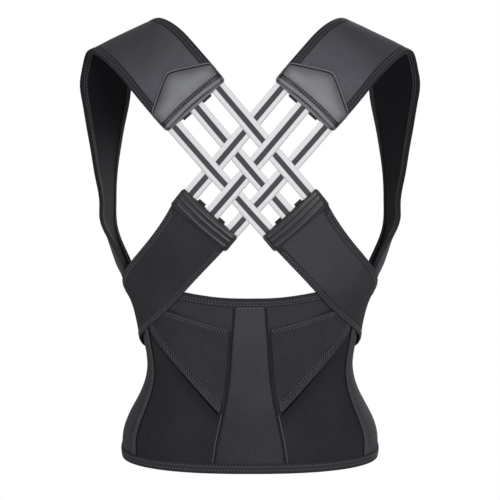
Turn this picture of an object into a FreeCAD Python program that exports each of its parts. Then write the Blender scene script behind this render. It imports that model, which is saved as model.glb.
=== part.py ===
"""Posture back brace: waist belt, cross straps, woven elastic back panel and two shoulder straps.

Millimetres. Z is up, the wearer's back faces -Y, the wearer's right hand side is +X.
Soft goods are modelled as closed solids laid in layers on one body form.
"""
import math
import os
import FreeCAD, Part

V = FreeCAD.Vector

# ---------------------------------------------------------------- body form
HEM_HALF_WIDTH = 167.0
WAIST_HALF_WIDTH = 134.0
RIB_HALF_WIDTH = 168.5
BACK_HALF_WIDTH = 188.0
HEM_BACK_DEPTH = 121.0
WAIST_BACK_DEPTH = 99.0
RIB_BACK_DEPTH = 116.0
BLADE_BACK_DEPTH = 126.0
TOP_BACK_DEPTH = 104.0
HEM_FRONT_DEPTH = 118.0
WAIST_FRONT_DEPTH = 92.0
RIB_FRONT_DEPTH = 105.0
FORM_POWER = 2.4

# ---------------------------------------------------------------- belt heights
BELT_BACK_HEIGHT = 225.0
BELT_SIDE_RISE = 20.0
BELT_FRONT_HEIGHT = 165.0
HEM_CLEAR = 1.2
FLAP_HEM_LIFT = 1.2

# ---------------------------------------------------------------- layer thicknesses
GAP = 0.3
BELT_THICK = 2.4
WING_THICK = 1.3
TAPE_THICK = 0.7
CHANNEL_HEIGHT = 1.8
CHANNEL_WALL = 0.4
STAY_THICK = 0.7
CROSS_THICK = 2.2
LINING_THICK = 1.1
SHELL_THICK = 1.5
BAND_THICK = 1.2
BACKING_THICK = 1.2
LEATHER_THICK = 1.75
HOOK_THICK = 0.8
GRIP_THICK = 1.2
LAYER_CLEAR = 0.4
TAB_CLEAR = 0.45
TAB_CROWN = 0.5

# ---------------------------------------------------------------- widths
TOP_BINDING_WIDTH = 10.0
HEM_BINDING_WIDTH = 12.5
STRAP_WIDTH = 99.0
STRAP_BINDING_WIDTH = 10.0
BAND_WIDTH = 19.6
CHANNEL_WIDTH = 12.0
STAY_WIDTH = 8.0
PIPING_WIDTH = 3.6
PIPING_HEIGHT = 2.0
CROSS_WIDTH = 90.0
CROSS_TAPE_WIDTH = 8.0
BAND_TUCK = 11.0
END_CLEAR = 0.6
STRIP_TOP_CLEAR = 1.6
POCKET_END_WALL = 1.5
STAY_END_CLEAR = 2.0
STAY_SIDE_CLEAR = 0.5
CUT_REACH = 400.0
CUT_DEPTH = 20.0

# ---------------------------------------------------------------- angles round the body
HINGE_ANGLE = 125.0
HINGE_HALF_GAP = 0.09
CENTER_TOP_ANGLE = 10.3
CENTER_HEM_ANGLE = 21.3
STAY_ANGLE = 70.0
FLAP_OVERLAP_ANGLE = 15.0
FLAP_END_CLEAR_ANGLE = 0.9
PANEL_SEAM_ANGLE = 0.14
RIGHT_LIFT_START = 148.0
RIGHT_LIFT_SPAN = 14.0
LOOP_PANEL_START = 161.0
HOOK_PANEL_START = 167.0

# ---------------------------------------------------------------- layer stack on the belt
D_BELT = BELT_THICK
D_ON_BELT = BELT_THICK + GAP
D_CROSS = max(D_ON_BELT + CHANNEL_HEIGHT + LAYER_CLEAR, D_ON_BELT + HOOK_THICK * 2 + GAP)
RIGHT_FLAP_LIFT = D_ON_BELT + HOOK_THICK * 2 + GAP + LAYER_CLEAR
D_SHELL = LINING_THICK + GAP
STRAP_STACK = LINING_THICK + GAP + SHELL_THICK
D_BAND_END = BACKING_THICK + GAP
D_BAND_MID = D_BAND_END + BAND_THICK / 2.0
WEAVE_LIFT = BAND_THICK / 2.0 + 0.25


def spline(xs, ys, x):
    """Natural cubic spline through the given values."""
    n = len(xs)
    h = [xs[i + 1] - xs[i] for i in range(n - 1)]
    diag = [1.0] * n
    low = [0.0] * n
    up = [0.0] * n
    rhs = [0.0] * n
    for i in range(1, n - 1):
        low[i] = h[i - 1]
        diag[i] = 2.0 * (h[i - 1] + h[i])
        up[i] = h[i]
        rhs[i] = 6.0 * ((ys[i + 1] - ys[i]) / h[i] - (ys[i] - ys[i - 1]) / h[i - 1])
    for i in range(1, n):
        m = low[i] / diag[i - 1]
        diag[i] -= m * up[i - 1]
        rhs[i] -= m * rhs[i - 1]
    mom = [0.0] * n
    for i in range(n - 2, 0, -1):
        mom[i] = (rhs[i] - up[i] * mom[i + 1]) / diag[i]
    i = 0
    while i < n - 2 and x > xs[i + 1]:
        i += 1
    t = x - xs[i]
    slope = (ys[i + 1] - ys[i]) / h[i] - h[i] * (2.0 * mom[i] + mom[i + 1]) / 6.0
    return ys[i] + t * slope + t * t * mom[i] / 2.0 + t ** 3 * (mom[i + 1] - mom[i]) / (6.0 * h[i])


def lerp(a, b, t):
    return a + (b - a) * t


def smooth(t):
    t = min(1.0, max(0.0, t))
    return t * t * (3.0 - 2.0 * t)


# ---------------------------------------------------------------- form levels
FORM_Z = [0.0, 35.0, 78.0, 121.0, 160.0, 210.0, 250.0, 285.0, 350.0, 450.0, 540.0]
FLARE = [1.0, 0.97, 0.36, 0.0]
RISE = [0.15, 0.48, 1.0]


def level_table(hem, waist, rib, upper):
    """Form measure at each level: hem to waist by FLARE, waist to rib by RISE, then the upper values."""
    out = [lerp(waist, hem, k) for k in FLARE]
    out += [lerp(waist, rib, k) for k in RISE]
    return out + upper


FORM_A = level_table(HEM_HALF_WIDTH, WAIST_HALF_WIDTH, RIB_HALF_WIDTH,
                     [lerp(RIB_HALF_WIDTH, BACK_HALF_WIDTH, 0.5), BACK_HALF_WIDTH,
                      BACK_HALF_WIDTH + 5.0, BACK_HALF_WIDTH + 8.0])
FORM_BACK = level_table(HEM_BACK_DEPTH, WAIST_BACK_DEPTH, RIB_BACK_DEPTH,
                        [lerp(RIB_BACK_DEPTH, BLADE_BACK_DEPTH, 0.5), BLADE_BACK_DEPTH + 1.0,
                         BLADE_BACK_DEPTH - 4.0, TOP_BACK_DEPTH])
FORM_FRONT = level_table(HEM_FRONT_DEPTH, WAIST_FRONT_DEPTH, RIB_FRONT_DEPTH,
                         [RIB_FRONT_DEPTH + 3.0, RIB_FRONT_DEPTH + 6.0, RIB_FRONT_DEPTH + 7.0,
                          RIB_FRONT_DEPTH + 7.0])


def form_point(phi, z):
    """Point on the body form; phi in degrees, 0 at the middle of the back, +90 at the wearer's right."""
    a = spline(FORM_Z, FORM_A, z)
    back = spline(FORM_Z, FORM_BACK, z)
    front = spline(FORM_Z, FORM_FRONT, z)
    b = (front + back) / 2.0
    s = math.sin(math.radians(phi))
    c = math.cos(math.radians(phi))
    r = (abs(s / a) ** FORM_POWER + abs(c / b) ** FORM_POWER) ** (-1.0 / FORM_POWER)
    return V(r * s, (front - back) / 2.0 - r * c, z)


def form_normal(phi, z):
    """Outward unit normal of the body form."""
    across = form_point(phi + 0.3, z) - form_point(phi - 0.3, z)
    rise = form_point(phi, z + 1.0) - form_point(phi, z - 1.0)
    n = across.cross(rise)
    n.normalize()
    return n


def on_form(phi, z, d):
    return form_point(phi, z) + form_normal(phi, z) * d


def phi_of_x(x, z):
    """Angle on the back at which the form has the given x."""
    lo, hi = -89.0, 89.0
    for _ in range(34):
        mid = (lo + hi) / 2.0
        if form_point(mid, z).x < x:
            lo = mid
        else:
            hi = mid
    return (lo + hi) / 2.0


# ---------------------------------------------------------------- solid makers
def curve(points, keys):
    """Smooth curve through points at the given parameters."""
    c = Part.BSplineCurve()
    c.interpolate(Points=points, Parameters=keys)
    return c


def ruled(c1, c2):
    """Face between two curves that share their knots."""
    s = Part.BSplineSurface()
    s.buildFromPolesMultsKnots([c1.getPoles(), c2.getPoles()], [2, 2], c1.getMultiplicities(), [0, 1],
                               c1.getKnots(), False, False, 1, c1.Degree)
    return s.toShape()


def chord_keys(points):
    keys = [0.0]
    for a, b in zip(points, points[1:]):
        keys.append(keys[-1] + (b - a).Length)
    return keys


def surface(grid, keys_u, keys_v):
    """Smooth surface through a grid of points, first along u and then across v."""
    columns = [curve([row[j] for row in grid], keys_u) for j in range(len(keys_v))]
    poles_u = [c.getPoles() for c in columns]
    rows = [curve([p[i] for p in poles_u], keys_v) for i in range(len(poles_u[0]))]
    s = Part.BSplineSurface()
    s.buildFromPolesMultsKnots([c.getPoles() for c in rows], columns[0].getMultiplicities(),
                               rows[0].getMultiplicities(), columns[0].getKnots(),
                               rows[0].getKnots(), False, False, 3, 3)
    return s


def closed(faces):
    """Sew faces to one solid with outward normals."""
    comp = Part.Compound(faces)
    comp.sewShape(0.01)
    shells = comp.Shells
    solid = Part.Solid(shells[0])
    if solid.Volume < 0:
        solid.reverse()
    if len(shells) != 1 or not solid.isValid():
        raise RuntimeError("open or invalid shell: %d shells" % len(shells))
    return solid


def skin_solid(inner, outer):
    """Closed sheet between two point grids of the same size."""
    middle = len(inner[0]) // 2
    keys_u = chord_keys([row[middle] for row in inner])
    keys_v = chord_keys(inner[len(inner) // 2])
    s1 = surface(inner, keys_u, keys_v)
    s2 = surface(outer, keys_u, keys_v)
    faces = [s1.toShape(), s2.toShape()]
    for u in (keys_u[0], keys_u[-1]):
        faces.append(ruled(s1.uIso(u), s2.uIso(u)))
    for v in (keys_v[0], keys_v[-1]):
        faces.append(ruled(s1.vIso(v), s2.vIso(v)))
    return closed(faces)


def value(d, u, v):
    return d(u, v) if callable(d) else d


def form_sheet(place, nu, nv, d0, d1):
    """Sheet laid on the form; place(u, v) gives (phi, z), offsets may be numbers or functions."""
    inner = []
    outer = []
    for i in range(nu):
        row0 = []
        row1 = []
        for j in range(nv):
            u = i / (nu - 1.0)
            v = j / (nv - 1.0)
            phi, z = place(u, v)
            p = form_point(phi, z)
            n = form_normal(phi, z)
            row0.append(p + n * value(d0, u, v))
            row1.append(p + n * value(d1, u, v))
        inner.append(row0)
        outer.append(row1)
    return skin_solid(inner, outer)


def four_sided(a, b, c, d):
    """Face with straight sides a-b, b-c, c-d, d-a."""
    s = Part.BSplineSurface()
    s.buildFromPolesMultsKnots([[a, b], [d, c]], [2, 2], [2, 2], [0, 1], [0, 1], False, False, 1, 1)
    return s.toShape()


def tube(sections, quads):
    """Solid swept through polygon sections; quads split the end polygons into four-sided caps."""
    k = len(sections[0])
    keys = chord_keys([ring[0] for ring in sections])
    rails = [curve([s[i] for s in sections], keys) for i in range(k)]
    faces = [ruled(rails[i], rails[(i + 1) % k]) for i in range(k)]
    for end in (sections[0], sections[-1]):
        for a, b, c, d in quads:
            faces.append(four_sided(end[a], end[b], end[c], end[d]))
    return closed(faces)


CHANNEL_QUADS = [(0, 1, 2, 3), (4, 5, 6, 7), (0, 3, 4, 7)]


def u_profile(low, high, width, over):
    """Corners (t, d) of a folded binding round an edge; t runs inwards from the edge."""
    g = GAP
    w = TAPE_THICK
    return [(-g - over, low - g - w), (width, low - g - w), (width, low - g), (-g, low - g),
            (-g, high + g), (width, high + g), (width, high + g + w), (-g - over, high + g + w)]


def rim_binding(edge, inward, lift, phi0, phi1, n, width, over=None):
    """Binding folded over the belt edge z = edge(phi); inward is the sign of z into the belt."""
    prof = u_profile(0.0, BELT_THICK, width, TAPE_THICK if over is None else over)
    sections = []
    for i in range(n):
        phi = lerp(phi0, phi1, i / (n - 1.0))
        ring = []
        for t, d in prof:
            ring.append(on_form(phi, edge(phi) + inward * t, d + lift(phi)))
        sections.append(ring)
    return tube(sections, CHANNEL_QUADS)


def mirrored(shape):
    return shape.mirror(V(0, 0, 0), V(1, 0, 0))


# ---------------------------------------------------------------- belt edge lines
TOP_PHI = [0.0, 20.0, 41.0, 60.0, 75.0, 95.0, 111.0, 135.0, 158.0, 180.0]


def belt_top(phi):
    """Height of the belt panel's top edge."""
    side = BELT_BACK_HEIGHT + BELT_SIDE_RISE
    zs = [BELT_BACK_HEIGHT - 1.0, BELT_BACK_HEIGHT, BELT_BACK_HEIGHT + 0.3 * BELT_SIDE_RISE,
          BELT_BACK_HEIGHT + 0.72 * BELT_SIDE_RISE, side, side,
          lerp(BELT_FRONT_HEIGHT, side, 0.86), lerp(BELT_FRONT_HEIGHT, side, 0.36),
          BELT_FRONT_HEIGHT + 1.5, BELT_FRONT_HEIGHT]
    return spline(TOP_PHI, zs, abs(phi))


def root_hem(phi):
    return HEM_CLEAR


def flap_hem(phi):
    return HEM_CLEAR + FLAP_HEM_LIFT


def no_lift(phi):
    return 0.0


def flap_lift(phi):
    """Outward shift of the right flap where it lies on the left one."""
    return RIGHT_FLAP_LIFT * smooth((phi - RIGHT_LIFT_START) / RIGHT_LIFT_SPAN)


def center_edge(z):
    return lerp(CENTER_HEM_ANGLE, CENTER_TOP_ANGLE, z / BELT_BACK_HEIGHT)


# heights below are drawn for a belt this high at the back, and follow the belt when it changes
DRAWN_BACK_HEIGHT = 225.0
HEIGHT_SCALE = BELT_BACK_HEIGHT / DRAWN_BACK_HEIGHT
STAY_LEVELS = [k * HEIGHT_SCALE for k in (0.0, 46.0, 110.0, 165.0, 250.0)]
STAY_SWING = [-5.0, -2.8, 0.2, 0.9, 0.7]


def stay_line(z):
    """Angle of the side stay channel at height z."""
    return STAY_ANGLE + spline(STAY_LEVELS, STAY_SWING, z)


def panel(left, right, top, hem, d0, d1, nu, nv):
    """Belt panel between two angle lines left(z), right(z)."""
    def place(u, v):
        z = 0.0
        phi = 0.0
        for _ in range(4):
            phi = lerp(left(z), right(z), u)
            z = lerp(hem(phi), top(phi), v)
        return phi, z
    return form_sheet(place, nu, nv, d0, d1)


def belt_panels():
    """Center, back and side panels of the belt shell, right-hand ones for the paired panels."""
    def c_left(z):
        return -center_edge(z) + PANEL_SEAM_ANGLE

    def c_right(z):
        return center_edge(z) - PANEL_SEAM_ANGLE

    def b_left(z):
        return center_edge(z) + PANEL_SEAM_ANGLE

    def b_right(z):
        return stay_line(z) - PANEL_SEAM_ANGLE

    def s_left(z):
        return stay_line(z) + PANEL_SEAM_ANGLE

    def s_right(z):
        return HINGE_ANGLE - HINGE_HALF_GAP

    center = panel(c_left, c_right, belt_top, root_hem, 0.0, D_BELT, 7, 15)
    back = panel(b_left, b_right, belt_top, root_hem, 0.0, D_BELT, 11, 15)
    side = panel(s_left, s_right, belt_top, root_hem, 0.0, D_BELT, 13, 15)
    return center, back, side


# ---------------------------------------------------------------- wings, piping, stays
WING_START_GAP = 2.6
WING_END_ANGLE = STAY_ANGLE - 3.6
WING_LOW_INNER = 70.0
WING_HIGH_INNER = 186.0


def wing_low(phi):
    return spline([15.0, 22.0, 31.0, 42.5, 54.5, 66.0, 72.0],
                  [66.0, 77.0, 93.0, 116.0, 145.0, 176.0, 192.0], phi) * HEIGHT_SCALE


def wing_high(phi):
    return spline([10.0, 17.0, 35.0, 51.0, 62.0, 72.0],
                  [184.0, 186.0, 195.0, 205.0, 211.0, 214.0], phi) * HEIGHT_SCALE




def support_wing():
    def place(u, v):
        z = lerp(WING_LOW_INNER, WING_HIGH_INNER, v) * HEIGHT_SCALE
        phi = lerp(center_edge(z) + WING_START_GAP, WING_END_ANGLE, u)
        return phi, lerp(wing_low(phi), wing_high(phi), v)
    return form_sheet(place, 13, 9, D_ON_BELT, D_ON_BELT + WING_THICK)


def strip_along(line_phi, z0, z1, half, d0, d1, n):
    """Narrow strip of rectangular section running up the belt along an angle line."""
    sections = []
    for i in range(n):
        z = lerp(z0, z1, i / (n - 1.0))
        phi = line_phi(z)
        step = math.degrees(half / form_point(phi, z).sub(V(0, 0, z)).Length)
        ring = []
        for s, d in ((-1, d0), (1, d0), (1, d1), (-1, d1)):
            ring.append(on_form(phi + s * step, z, d))
        sections.append(ring)
    return tube(sections, [(0, 1, 2, 3)])


STRIP_LOW = HEM_CLEAR + HEM_BINDING_WIDTH + END_CLEAR


def center_piping():
    top = BELT_BACK_HEIGHT - TOP_BINDING_WIDTH - STRIP_TOP_CLEAR
    return strip_along(center_edge, STRIP_LOW, top, PIPING_WIDTH / 2.0, D_ON_BELT,
                       D_ON_BELT + PIPING_HEIGHT, 14)


def stay_channel():
    """Closed sleeve with a pocket for the stay."""
    top = belt_top(STAY_ANGLE) - TOP_BINDING_WIDTH - STRIP_TOP_CLEAR
    outer = strip_along(stay_line, STRIP_LOW, top, CHANNEL_WIDTH / 2.0, D_ON_BELT,
                        D_ON_BELT + CHANNEL_HEIGHT, 16)
    pocket = strip_along(stay_line, STRIP_LOW + POCKET_END_WALL, top - POCKET_END_WALL,
                         STAY_WIDTH / 2.0 + STAY_SIDE_CLEAR, D_ON_BELT + CHANNEL_WALL,
                         D_ON_BELT + CHANNEL_HEIGHT - CHANNEL_WALL, 16)
    return outer.cut(pocket)


def side_stay():
    top = belt_top(STAY_ANGLE) - TOP_BINDING_WIDTH - STRIP_TOP_CLEAR
    mid = D_ON_BELT + CHANNEL_HEIGHT / 2.0
    return strip_along(stay_line, STRIP_LOW + STAY_END_CLEAR, top - STAY_END_CLEAR, STAY_WIDTH / 2.0,
                       mid - STAY_THICK / 2.0, mid + STAY_THICK / 2.0, 16)


def hem_cut(shape):
    """Trim everything under the floor plane so the hem is flat."""
    box = Part.makeBox(2.0 * CUT_REACH, 2.0 * CUT_REACH, CUT_DEPTH, V(-CUT_REACH, -CUT_REACH, -CUT_DEPTH))
    return shape.cut(box)


def root_bindings():
    end = HINGE_ANGLE - HINGE_HALF_GAP
    top = rim_binding(belt_top, -1.0, no_lift, -end, end, 51, TOP_BINDING_WIDTH)
    hem = rim_binding(root_hem, 1.0, no_lift, -end, end, 51, HEM_BINDING_WIDTH, HEM_CLEAR + 1.5)
    return top, hem_cut(hem)


# ---------------------------------------------------------------- cross straps
CROSS_UP = [(40.4, 354.0), (46.0, 328.0), (53.0, 302.0), (68.5, 260.0), (84.0, 230.0),
            (98.0, 209.0), (111.0, 193.0), (HINGE_ANGLE - HINGE_HALF_GAP, 179.0)]
CROSS_LOW = [(12.4, 296.5), (22.0, 275.0), (33.0, 250.0), (50.5, 210.0), (70.0, 176.0),
             (91.0, 151.0), (109.0, 133.0), (HINGE_ANGLE - HINGE_HALF_GAP, 120.0)]
FRONT_UP = [(HINGE_ANGLE + HINGE_HALF_GAP, 179.0), (134.0, 171.0), (144.0, 162.0), (156.0, 151.0)]
FRONT_LOW = [(HINGE_ANGLE + HINGE_HALF_GAP, 120.0), (134.0, 112.5), (144.0, 105.0), (156.0, 96.0)]
CROSS_KEYS = [0.0, 0.12, 0.24, 0.45, 0.63, 0.77, 0.89, 1.0]
FRONT_KEYS = [0.0, 0.31, 0.63, 1.0]


def along(keys, pairs, t):
    return (spline(keys, [p[0] for p in pairs], t), spline(keys, [p[1] for p in pairs], t))


def cross_lift(u, v):
    """Inner offset of the cross strap: low at the back panel, over the belt bindings lower down."""
    return lerp(D_BAND_END, D_CROSS, smooth(u / 0.26))


def cross_part(t0, t1, w0, w1, extra0, extra1, nu, nv):
    """Part of the right cross strap; t along the strap, w the share of its width from the upper edge."""
    def place(u, v):
        t = lerp(t0, t1, u)
        a = along(CROSS_KEYS, CROSS_UP, t)
        b = along(CROSS_KEYS, CROSS_LOW, t)
        w = lerp(w0, w1, v)
        phi = lerp(a[0], b[0], w)
        return phi, lerp(a[1], b[1], w)

    def d0(u, v):
        return cross_lift(lerp(t0, t1, u), v) + extra0

    def d1(u, v):
        return cross_lift(lerp(t0, t1, u), v) + extra1
    return form_sheet(place, nu, nv, d0, d1)


def cross_strap():
    return cross_part(0.0, 1.0, 0.0, 1.0, 0.0, CROSS_THICK, 27, 7)


def cross_tapes():
    """Folded hems along the two edges of the cross strap, from below the tab to the fold."""
    start = 0.066
    share = CROSS_TAPE_WIDTH / CROSS_WIDTH
    e0 = CROSS_THICK + GAP
    e1 = CROSS_THICK + GAP + TAPE_THICK
    up = cross_part(start, 1.0, 0.0, share, e0, e1, 27, 4)
    low = cross_part(start, 1.0, 1.0 - share, 1.0, e0, e1, 27, 4)
    return Part.Compound([up, low])


# ---------------------------------------------------------------- lower tabs
TAB_TOP_OUT = (82.5, 367.0)
TAB_TOP_IN = (15.0, 305.5)
TAB_LOW_IN = (30.5, 286.5)
TAB_LOW_OUT = (99.0, 345.5)


def quad_place(p00, p10, p11, p01):
    """Bilinear place on the back from four (x, z) corners."""
    def place(u, v):
        x = lerp(lerp(p00[0], p10[0], u), lerp(p01[0], p11[0], u), v)
        z = lerp(lerp(p00[1], p10[1], u), lerp(p01[1], p11[1], u), v)
        return phi_of_x(x, z), z
    return place


D_TAB = max(D_BAND_END + CROSS_THICK + TAB_CLEAR, D_BAND_END + BAND_THICK + GAP)


def lower_tab():
    place = quad_place(TAB_TOP_OUT, TAB_TOP_IN, TAB_LOW_IN, TAB_LOW_OUT)

    def crown(u, v):
        return D_TAB + LEATHER_THICK + TAB_CROWN * math.sin(math.pi * v)
    return form_sheet(place, 12, 7, D_TAB, crown)


def lower_backing():
    """Backing behind the band ends, from the tab's upper edge to below the cross strap's start."""
    place = quad_place(TAB_TOP_OUT, TAB_TOP_IN, TAB_LOW_IN, TAB_LOW_OUT)
    return form_sheet(place, 12, 5, 0.0, BACKING_THICK)


# ---------------------------------------------------------------- upper patches
PATCH_IN = (30.0, 500.5)
PATCH_OUT = (103.0, 435.5)
PATCH_SIDE = 30.0
PATCH_APEX = 55.0
STRAP_TUCK = 15.0
BACKING_CLEAR = 2.4


def patch_axes():
    dx = PATCH_OUT[0] - PATCH_IN[0]
    dz = PATCH_OUT[1] - PATCH_IN[1]
    length = math.hypot(dx, dz)
    return (dx / length, dz / length), (-dz / length, dx / length), length


def patch_place(depth0, depth):
    """Place on the patch: u along the band edge, v away from it up to depth(u)."""
    e, n, length = patch_axes()

    def place(u, v):
        s = u * length
        t = lerp(depth0, depth(u), v)
        x = PATCH_IN[0] + e[0] * s + n[0] * t
        z = PATCH_IN[1] + e[1] * s + n[1] * t
        return phi_of_x(x, z), z
    return place


def roof(u):
    k = 1.0 - math.sqrt((2.0 * u - 1.0) ** 2 + 0.01)
    return PATCH_SIDE + (PATCH_APEX - PATCH_SIDE) * k / 0.9


D_PATCH = STRAP_STACK + GAP + TAPE_THICK + GAP
D_PATCH_EDGE = D_BAND_END + BAND_THICK + GAP


def upper_patch():
    place = patch_place(0.0, roof)

    def low(u, v):
        t = v * roof(u)
        return lerp(D_PATCH_EDGE, D_PATCH, smooth((t - 6.0) / (STRAP_TUCK - 8.0)))

    def high(u, v):
        return low(u, v) + LEATHER_THICK
    return form_sheet(place, 15, 15, low, high)


def upper_backing():
    place = patch_place(0.0, lambda u: STRAP_TUCK - BACKING_CLEAR)
    return form_sheet(place, 12, 5, 0.0, BACKING_THICK)


# ---------------------------------------------------------------- woven elastic bands
BAND_TOP = [(37.5, 489.0), (65.0, 466.0), (92.5, 441.0)]
BAND_END = [(73.0, 359.5), (46.0, 336.0), (21.0, 313.5)]


def band_line(side, k):
    """Start and end (x, z) of a band; side -1 starts at the left patch, +1 at the right patch."""
    return ((side * BAND_TOP[k][0], BAND_TOP[k][1]), (-side * BAND_END[k][0], BAND_END[k][1]))


def crossing(p, q):
    """Distance along line p at which it meets line q."""
    (ax, az), (bx, bz) = p
    (cx, cz), (dx, dz) = q
    rx, rz = bx - ax, bz - az
    sx, sz = dx - cx, dz - cz
    t = ((cx - ax) * sz - (cz - az) * sx) / (rx * sz - rz * sx)
    return t * math.hypot(rx, rz)


# a band stays level this far past the band it crosses, then eases down over the ramp
WEAVE_FLAT = BAND_WIDTH / 2.0 + 0.9
WEAVE_RAMP = 13.0


def weave(marks, s):
    """Smooth over-and-under value at distance s from (distance, sign) marks."""
    knots = [(marks[0][0] - WEAVE_FLAT - WEAVE_RAMP, 0.0)]
    for m, sign in marks:
        knots.append((m - WEAVE_FLAT, sign))
        knots.append((m + WEAVE_FLAT, sign))
    knots.append((marks[-1][0] + WEAVE_FLAT + WEAVE_RAMP, 0.0))
    if s <= knots[0][0] or s >= knots[-1][0]:
        return 0.0
    for (s0, v0), (s1, v1) in zip(knots, knots[1:]):
        if s0 <= s <= s1:
            return lerp(v0, v1, smooth((s - s0) / max(s1 - s0, 1e-6)))
    return 0.0


def band(side, k):
    """One elastic band, tucked under the patch above and under the tab below."""
    a, b = band_line(side, k)
    length = math.hypot(b[0] - a[0], b[1] - a[1])
    ux, uz = (b[0] - a[0]) / length, (b[1] - a[1]) / length
    marks = []
    for j in range(3):
        over = 1.0 if (k + j) % 2 == 0 else -1.0
        marks.append((crossing((a, b), band_line(-side, j)), over * (1.0 if side < 0 else -1.0)))
    marks.sort()
    rows = 57

    def place(u, v):
        s = lerp(-BAND_TUCK, length + BAND_TUCK, u)
        w = (v - 0.5) * BAND_WIDTH
        x = a[0] + ux * s - uz * w
        z = a[1] + uz * s + ux * w
        return phi_of_x(x, z), z

    def mid(u):
        s = lerp(-BAND_TUCK, length + BAND_TUCK, u)
        return D_BAND_MID + WEAVE_LIFT * weave(marks, s)
    return form_sheet(place, rows, 4, lambda u, v: mid(u) - BAND_THICK / 2.0,
                      lambda u, v: mid(u) + BAND_THICK / 2.0)


# ---------------------------------------------------------------- shoulder straps
# center of the strap, then the direction from its outer to its inner edge
STRAP_STATIONS = [
    ((76.0, -118.0, 478.5), (-0.747, 0.02, 0.665)),
    ((94.0, -106.0, 499.0), (-0.75, 0.02, 0.66)),
    ((116.0, -80.0, 523.0), (-0.79, 0.0, 0.60)),
    ((140.0, -46.0, 544.0), (-0.85, 0.0, 0.50)),
    ((162.0, -12.0, 553.5), (-0.90, 0.02, 0.43)),
    ((171.5, 14.0, 546.0), (-0.87, 0.18, 0.43)),
    ((180.5, 36.0, 524.0), (-0.77, 0.46, 0.36)),
    ((189.0, 51.0, 496.0), (-0.65, 0.72, 0.20)),
    ((190.4, 58.0, 465.0), (-0.55, 0.83, 0.05)),
    ((191.2, 56.0, 435.0), (-0.43, 0.90, 0.0)),
    ((190.7, 47.0, 403.0), (-0.305, 0.952, 0.0)),
    ((189.6, 35.0, 372.0), (-0.20, 0.98, 0.0)),
    ((187.0, 22.0, 341.0), (-0.12, 0.993, 0.0)),
    ((186.7, 10.0, 312.0), (-0.105, 0.995, 0.0)),
    ((184.0, 0.0, 283.0), (0.0, 1.0, 0.0)),
    ((176.0, -4.0, 252.0), (0.0, 1.0, 0.0)),
]
STRAP_REAR_ANGLE = 71.0
STRAP_FRONT_ANGLE = 107.0


def station_keys():
    keys = [0.0]
    for (a, _), (b, _) in zip(STRAP_STATIONS, STRAP_STATIONS[1:]):
        keys.append(keys[-1] + V(*a).sub(V(*b)).Length)
    return [k / keys[-1] for k in keys], keys[-1]


STRAP_KEYS, STRAP_LENGTH = station_keys()


def strap_point(t, w):
    """Point on the strap's inner surface; t along it, w in mm from the middle, + to the inner edge."""
    c = V(*[spline(STRAP_KEYS, [s[0][i] for s in STRAP_STATIONS], t) for i in range(3)])
    d = V(*[spline(STRAP_KEYS, [s[1][i] for s in STRAP_STATIONS], t) for i in range(3)])
    d.normalize()
    p = c + d * w
    on_back = 1.0 - smooth((t - 0.03) / 0.13)
    if on_back > 0.0:
        y = form_point(phi_of_x(p.x, p.z), p.z).y
        p = V(p.x, lerp(p.y, y, on_back), p.z)
    on_side = smooth((t - 0.85) / 0.135)
    if on_side > 0.0:
        share = w / STRAP_WIDTH + 0.5
        phi = lerp(STRAP_REAR_ANGLE, STRAP_FRONT_ANGLE, share)
        low = belt_top(phi) + GAP * 2.0 + TAPE_THICK
        z = p.z + (low - STRAP_STATIONS[-1][0][2]) * smooth((t - 0.78) / 0.22)
        q = form_point(phi, z)
        p = p + (q - p) * on_side
    return p


def strap_frame(t, w):
    """Strap point with its outward unit normal."""
    e = 0.004
    t0, t1 = max(0.0, t - e), min(1.0, t + e)
    along_t = strap_point(t1, w) - strap_point(t0, w)
    across = strap_point(t, w + 1.0) - strap_point(t, w - 1.0)
    n = along_t.cross(across)
    n.normalize()
    return strap_point(t, w), n


def strap_sheet(w0, w1, d0, d1, nu, nv, t0=0.0, t1=1.0):
    inner = []
    outer = []
    for i in range(nu):
        rows = ([], [])
        for j in range(nv):
            p, n = strap_frame(lerp(t0, t1, i / (nu - 1.0)), lerp(w0, w1, j / (nv - 1.0)))
            rows[0].append(p + n * d0)
            rows[1].append(p + n * d1)
        inner.append(rows[0])
        outer.append(rows[1])
    return skin_solid(inner, outer)


STRAP_HALF = STRAP_WIDTH / 2.0 - GAP - TAPE_THICK


def strap_binding(sign, n=55):
    """Binding folded over one edge of the shoulder strap."""
    prof = u_profile(0.0, STRAP_STACK, STRAP_BINDING_WIDTH, TAPE_THICK)
    sections = []
    for i in range(n):
        t = i / (n - 1.0)
        ring = []
        for s, d in prof:
            p, nrm = strap_frame(t, sign * (STRAP_HALF - s))
            ring.append(p + nrm * d)
        sections.append(ring)
    return tube(sections, CHANNEL_QUADS)


def shoulder_parts():
    """Shell, lining and the pair of bindings of the right shoulder strap."""
    lining = strap_sheet(-STRAP_HALF, STRAP_HALF, 0.0, LINING_THICK, 41, 7)
    shell = strap_sheet(-STRAP_HALF, STRAP_HALF, D_SHELL, STRAP_STACK, 41, 7)
    bindings = Part.Compound([strap_binding(1.0), strap_binding(-1.0)])
    return shell, lining, bindings


# ---------------------------------------------------------------- front flaps
def flap_sheet(phi0, phi1, low, high, d0, d1, lift, nu, nv):
    def place(u, v):
        phi = lerp(phi0, phi1, u)
        return phi, lerp(low(phi), high(phi), v)

    def near(u, v):
        return d0 + lift(lerp(phi0, phi1, u))

    def far(u, v):
        return d1 + lift(lerp(phi0, phi1, u))
    return form_sheet(place, nu, nv, near, far)


FLAP_START = HINGE_ANGLE + HINGE_HALF_GAP
FLAP_END = 180.0 + FLAP_OVERLAP_ANGLE


def flap_panel(lift):
    return flap_sheet(FLAP_START, FLAP_END, flap_hem, belt_top_any, 0.0, D_BELT, lift, 29, 17)


def belt_top_any(phi):
    return belt_top(phi if phi <= 180.0 else 360.0 - phi)


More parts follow.
